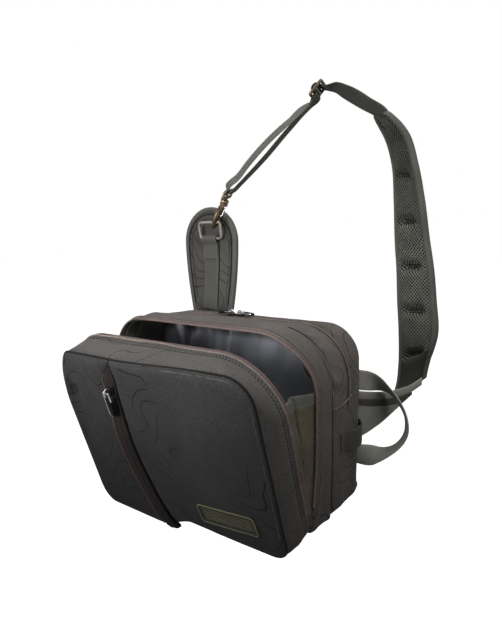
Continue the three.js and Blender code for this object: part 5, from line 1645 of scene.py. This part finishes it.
def make_wing():
    rows = spline([(x, BAG_DEPTH + behind, 0, low, high) for x, behind, low, high in WING_ROWS], 3.0)

    def strip(rows, low, high, columns):
        z = low[:, None] + (high - low)[:, None] * np.linspace(0, 1, columns + 1)
        x, y = [np.repeat(rows[:, k:k + 1], columns + 1, 1) for k in range(2)]
        return np.stack([x, y, z], -1)

    panel = rows[rows[:, 0] <= WING_PANEL_TO]
    low = panel[:, 3]
    top = panel[:, 4] - WING_BINDING - 0.3
    shape = Shape().slab(*thickened(strip(panel, low, top, 16), WING_THICK))
    made = piece("wing_panel", shape, WING, ["strap_wing"])
    dark = strip(panel, np.maximum(top - WING_STRIP, low), top + 0.2, 4)
    shape = Shape().slab(*thickened(dark, WING_THICK + 0.8))
    piece("wing_strip", shape, DARK_TAPE)
    middle = strip(rows, rows[:, 4] - WING_BINDING, rows[:, 4], 2)[:, 1]
    side = unit(np.cross(unit(np.gradient(middle, axis=0)), UPWARD))
    shape = Shape().sweep(middle, UPWARD, side, oval(WING_BINDING / 2, 1.6, 16, 0.6))
    piece("wing_tape", shape, WING, ["wing_binding"])


def make_loops():
    """Carry handle, and the small loop on the right side with its two rows of stitches."""
    handle = [(x, BAG_DEPTH + behind, *rest) for x, behind, *rest in HANDLE_ROWS]
    shape = Shape().ribbon(handle, WEBBING_WIDE, WEBBING_THICK)
    piece("hand_loop", shape, HANDLE, ["carry_handle"])
    shape = Shape()
    shape.ribbon([(x, y, LOOP_Z, 0, 0, 1) for x, y in LOOP_ROWS], WEBBING_WIDE, WEBBING_THICK, 1.5)
    piece("gear_loop", shape, DARK_TAPE, ["side_loop"])
    stitched("gear_loop_stitches", [
        (np.linspace((152.4, y, LOOP_Z - 11), (152.4, y, LOOP_Z + 11), 12), (1, 0, 0))
        for y in (60.5, 64.0)
    ], LOOP_STITCH, STITCH)


# Seams and stitching, with dark cords of painted shadow and a light ridge of painted highlight

def ring_line(skin, depth, from_z, lift):
    """Stretch of a skin at one depth above a height, lifted off it, with the outward direction."""
    row = int(np.argmin(np.abs(lengths(skin.mean(1)) - depth)))
    ring = skin[row]
    ahead = skin[min(row + 1, len(skin) - 1)] - skin[max(row - 1, 0)]
    around = np.roll(ring, -1, 0) - np.roll(ring, 1, 0)
    outward = unit(np.cross(around, ahead))
    outward = outward * np.sign((outward * (ring - ring.mean(0))).sum(1).mean())
    return arch(ring + outward * lift, outward, from_z)


def make_seams(body_skins, flap_skin):
    front, middle, rear = body_skins
    stitched("flap_stitches", [
        ring_line(flap_skin, depth, ZIP_FROM_Z, 0.12) for depth in FLAP_GROOVES[1:]
    ], FLAP_STITCH, DARK_THREAD_AND_PAINTED_SHADOW)

    def flap_line(depth, lift, radius):
        return ring_line(flap_skin, depth, ZIP_FROM_Z, lift)[0], radius, flap_forward

    def body_line(depth, radius):
        return ring_line(front, depth, ZIP_FROM_Z, 0.0)[0], radius, BACKWARD

    tubes("zip_cords", [flap_line(1.6, -0.1, 1.1), body_line(2.8, 0.7)], ZIP_TAPE, "zip")
    tubes("zip_pale_cord", [flap_line(5.2, 0.1, 0.9)], PALE_CORD, "zip")
    tubes("zip_dark_lines", [flap_line(3.4, 0.1, 0.8), body_line(4.4, 0.7)], DARK_THREAD_AND_PAINTED_SHADOW, "zip")
    stitched("body_stitches", [
        ring_line(skin, depth, low, 0.12)
        for skin, depth, low in ((front, 6.0, ZIP_FROM_Z), (middle, 40.0, 122), (rear, 8.0, 122))
    ], BODY_STITCH, THREAD)
    # Dark cord along the fold of the pleat: painted shadow of the gap behind the front gusset
    from_x, from_z, radius = PLEAT_SHADOW_LINE
    fold = front[-1]
    fold = fold[(fold[:, 0] > from_x) & (fold[:, 2] > from_z)]
    tubes("pleat_painted_shadow", [(fold, radius, BACKWARD)], DARK_THREAD_AND_PAINTED_SHADOW, "cloth")
    # Dark cord round the front panel's seam: painted shadow of the groove between panel and gusset
    seam = on_flap(flap_ring(FLAP_ROWS[-1], 0.2)[0] + [0, -0.6, 0])
    tubes("front_seam_painted_shadow", [(seam, 1.5, flap_forward)], DARK_THREAD_AND_PAINTED_SHADOW, "panel", closed=True)
    # Raised ridge inside the panel's right and top edges, in the lighter cloth: painted highlight
    places, outward = outline(SEAM_HALF, SEAM_TOP, SEAM_BASE, SEAM_LEFT, SEAM_RIGHT, FLAP_BASE_CORNER)
    ridge = places - outward * RIDGE_IN + [SEAM_SHIFT, 0]
    x, z = ridge[(ridge[:, 0] > RIDGE_FROM[0]) & (ridge[:, 1] > RIDGE_FROM[1])].T
    taper = np.clip(np.arange(len(x))[::-1] / 14, 0.1, 1)
    wire = (on_flap(panel_point(x, z, RIDGE_OUT)), RIDGE_RADIUS, flap_forward)
    tubes("front_edge_ridge", [wire], RIDGE, "panel", 10, scale=taper)
    tubes("side_seam_piping", [(spline(SIDE_SEAM, 2.0), 0.7, UPWARD)], ZIP_TAPE, "zip")


# Camera, light and floor

def make_camera(scene):
    forward = np.array([
        -math.sin(CAMERA_TURN) * math.cos(CAMERA_DIP), math.cos(CAMERA_TURN) * math.cos(CAMERA_DIP),
        -math.sin(CAMERA_DIP),
    ])
    level = np.array([math.cos(CAMERA_TURN), math.sin(CAMERA_TURN), 0.0])
    upright = np.cross(level, forward)
    right = level * math.cos(CAMERA_ROLL) + upright * math.sin(CAMERA_ROLL)
    up = upright * math.cos(CAMERA_ROLL) - level * math.sin(CAMERA_ROLL)
    camera = bpy.data.objects.new("camera", bpy.data.cameras.new("camera"))
    camera.data.lens = LENS_MM
    camera.data.clip_start = 0.01
    turned = Matrix(np.column_stack([right, up, -forward]).tolist()).to_4x4()
    camera.matrix_world = Matrix.Translation(to_frame(CAMERA_AT).tolist()) @ turned
    scene.collection.objects.link(camera)
    scene.camera = camera


def make_floor(scene):
    """White floor that the camera sees and that throws no light on the bag."""
    level = cad_box[0][2] - FLOOR_DROP / 1000
    far = FLOOR_REACH
    corners = [(x, y, level) for x, y in ((-far, -far), (far, -far), (far, far), (-far, far))]
    mesh = bpy.data.meshes.new("floor")
    mesh.from_pydata(corners, [], [(0, 1, 2, 3)])
    floor = bpy.data.objects.new("floor", mesh)
    scene.collection.objects.link(floor)
    pale = Nodes("pale_floor")
    tone = pale.ramp(pale.noise(3.0, 2.0, 0.5), 0.3, 0.7, 0.97, 1.0)
    shaded = pale.shade((0.95, 0.95, 0.95, 1), tone)
    mesh.materials.append(pale.finish(shaded, 0.9, tone, 0.01, glow=1.0))
    pale.shader.inputs["Emission Color"].default_value = WHITE
    floor.visible_diffuse = False
    floor.visible_glossy = False


def make_lamps(scene):
    for name, (place, aim, size, watts, spread) in LAMPS.items():
        lamp = bpy.data.objects.new(name, bpy.data.lights.new(name, "AREA"))
        lamp.data.size = size
        lamp.data.energy = watts
        lamp.data.spread = math.radians(spread)
        lamp.visible_camera = False
        at = Vector(to_frame(place).tolist())
        lamp.location = at
        lamp.rotation_euler = (Vector(to_frame(aim).tolist()) - at).to_track_quat("-Z", "Y").to_euler()
        scene.collection.objects.link(lamp)


def make_world(scene):
    """Light that grows from below to above, with more for shiny things and plain white behind them."""
    world = bpy.data.worlds.new("studio")
    world.use_nodes = True
    tree = world.node_tree
    coord, split, rise, seen, pick, shine = [
        tree.nodes.new("ShaderNode" + kind)
        for kind in ("TexCoord", "SeparateXYZ", "MapRange", "LightPath", "Mix", "Math")
    ]
    ends = {"From Min": -WORLD_SPAN, "From Max": WORLD_SPAN, "To Min": 0.0, "To Max": WORLD_TOP}
    for key, value in ends.items():
        rise.inputs[key].default_value = value
    shine.operation = "MULTIPLY_ADD"
    shine.inputs[1].default_value = WORLD_SHINE
    pick.inputs[3].default_value = 1.0
    sky = tree.nodes["Background"].inputs
    sky["Color"].default_value = WHITE
    for source, target in (
        (coord.outputs["Generated"], split.inputs[0]), (split.outputs[2], rise.inputs["Value"]),
        (seen.outputs["Is Glossy Ray"], shine.inputs[0]), (rise.outputs[0], shine.inputs[2]),
        (seen.outputs["Is Camera Ray"], pick.inputs[0]), (shine.outputs[0], pick.inputs[2]),
        (pick.outputs[0], sky["Strength"]),
    ):
        tree.links.new(source, target)
    scene.world = world


def make_stage():
    scene = bpy.context.scene
    make_camera(scene)
    make_floor(scene)
    make_lamps(scene)
    make_world(scene)
    scene.view_settings.view_transform = "Standard"


make_stage()
body_skins = make_body()
make_back_panel()
make_lining()
make_divider()
make_front()
flap_skin = make_flap_gusset()
make_flap_lining()
make_front_zip()
make_zips()
make_sliders()
make_badge()
make_webs()
make_tongue()
make_tongue_webbing()
make_ring()
make_hook()
make_gate()
make_strap()
make_pad()
make_wing()
make_loops()
make_seams(body_skins, flap_skin)
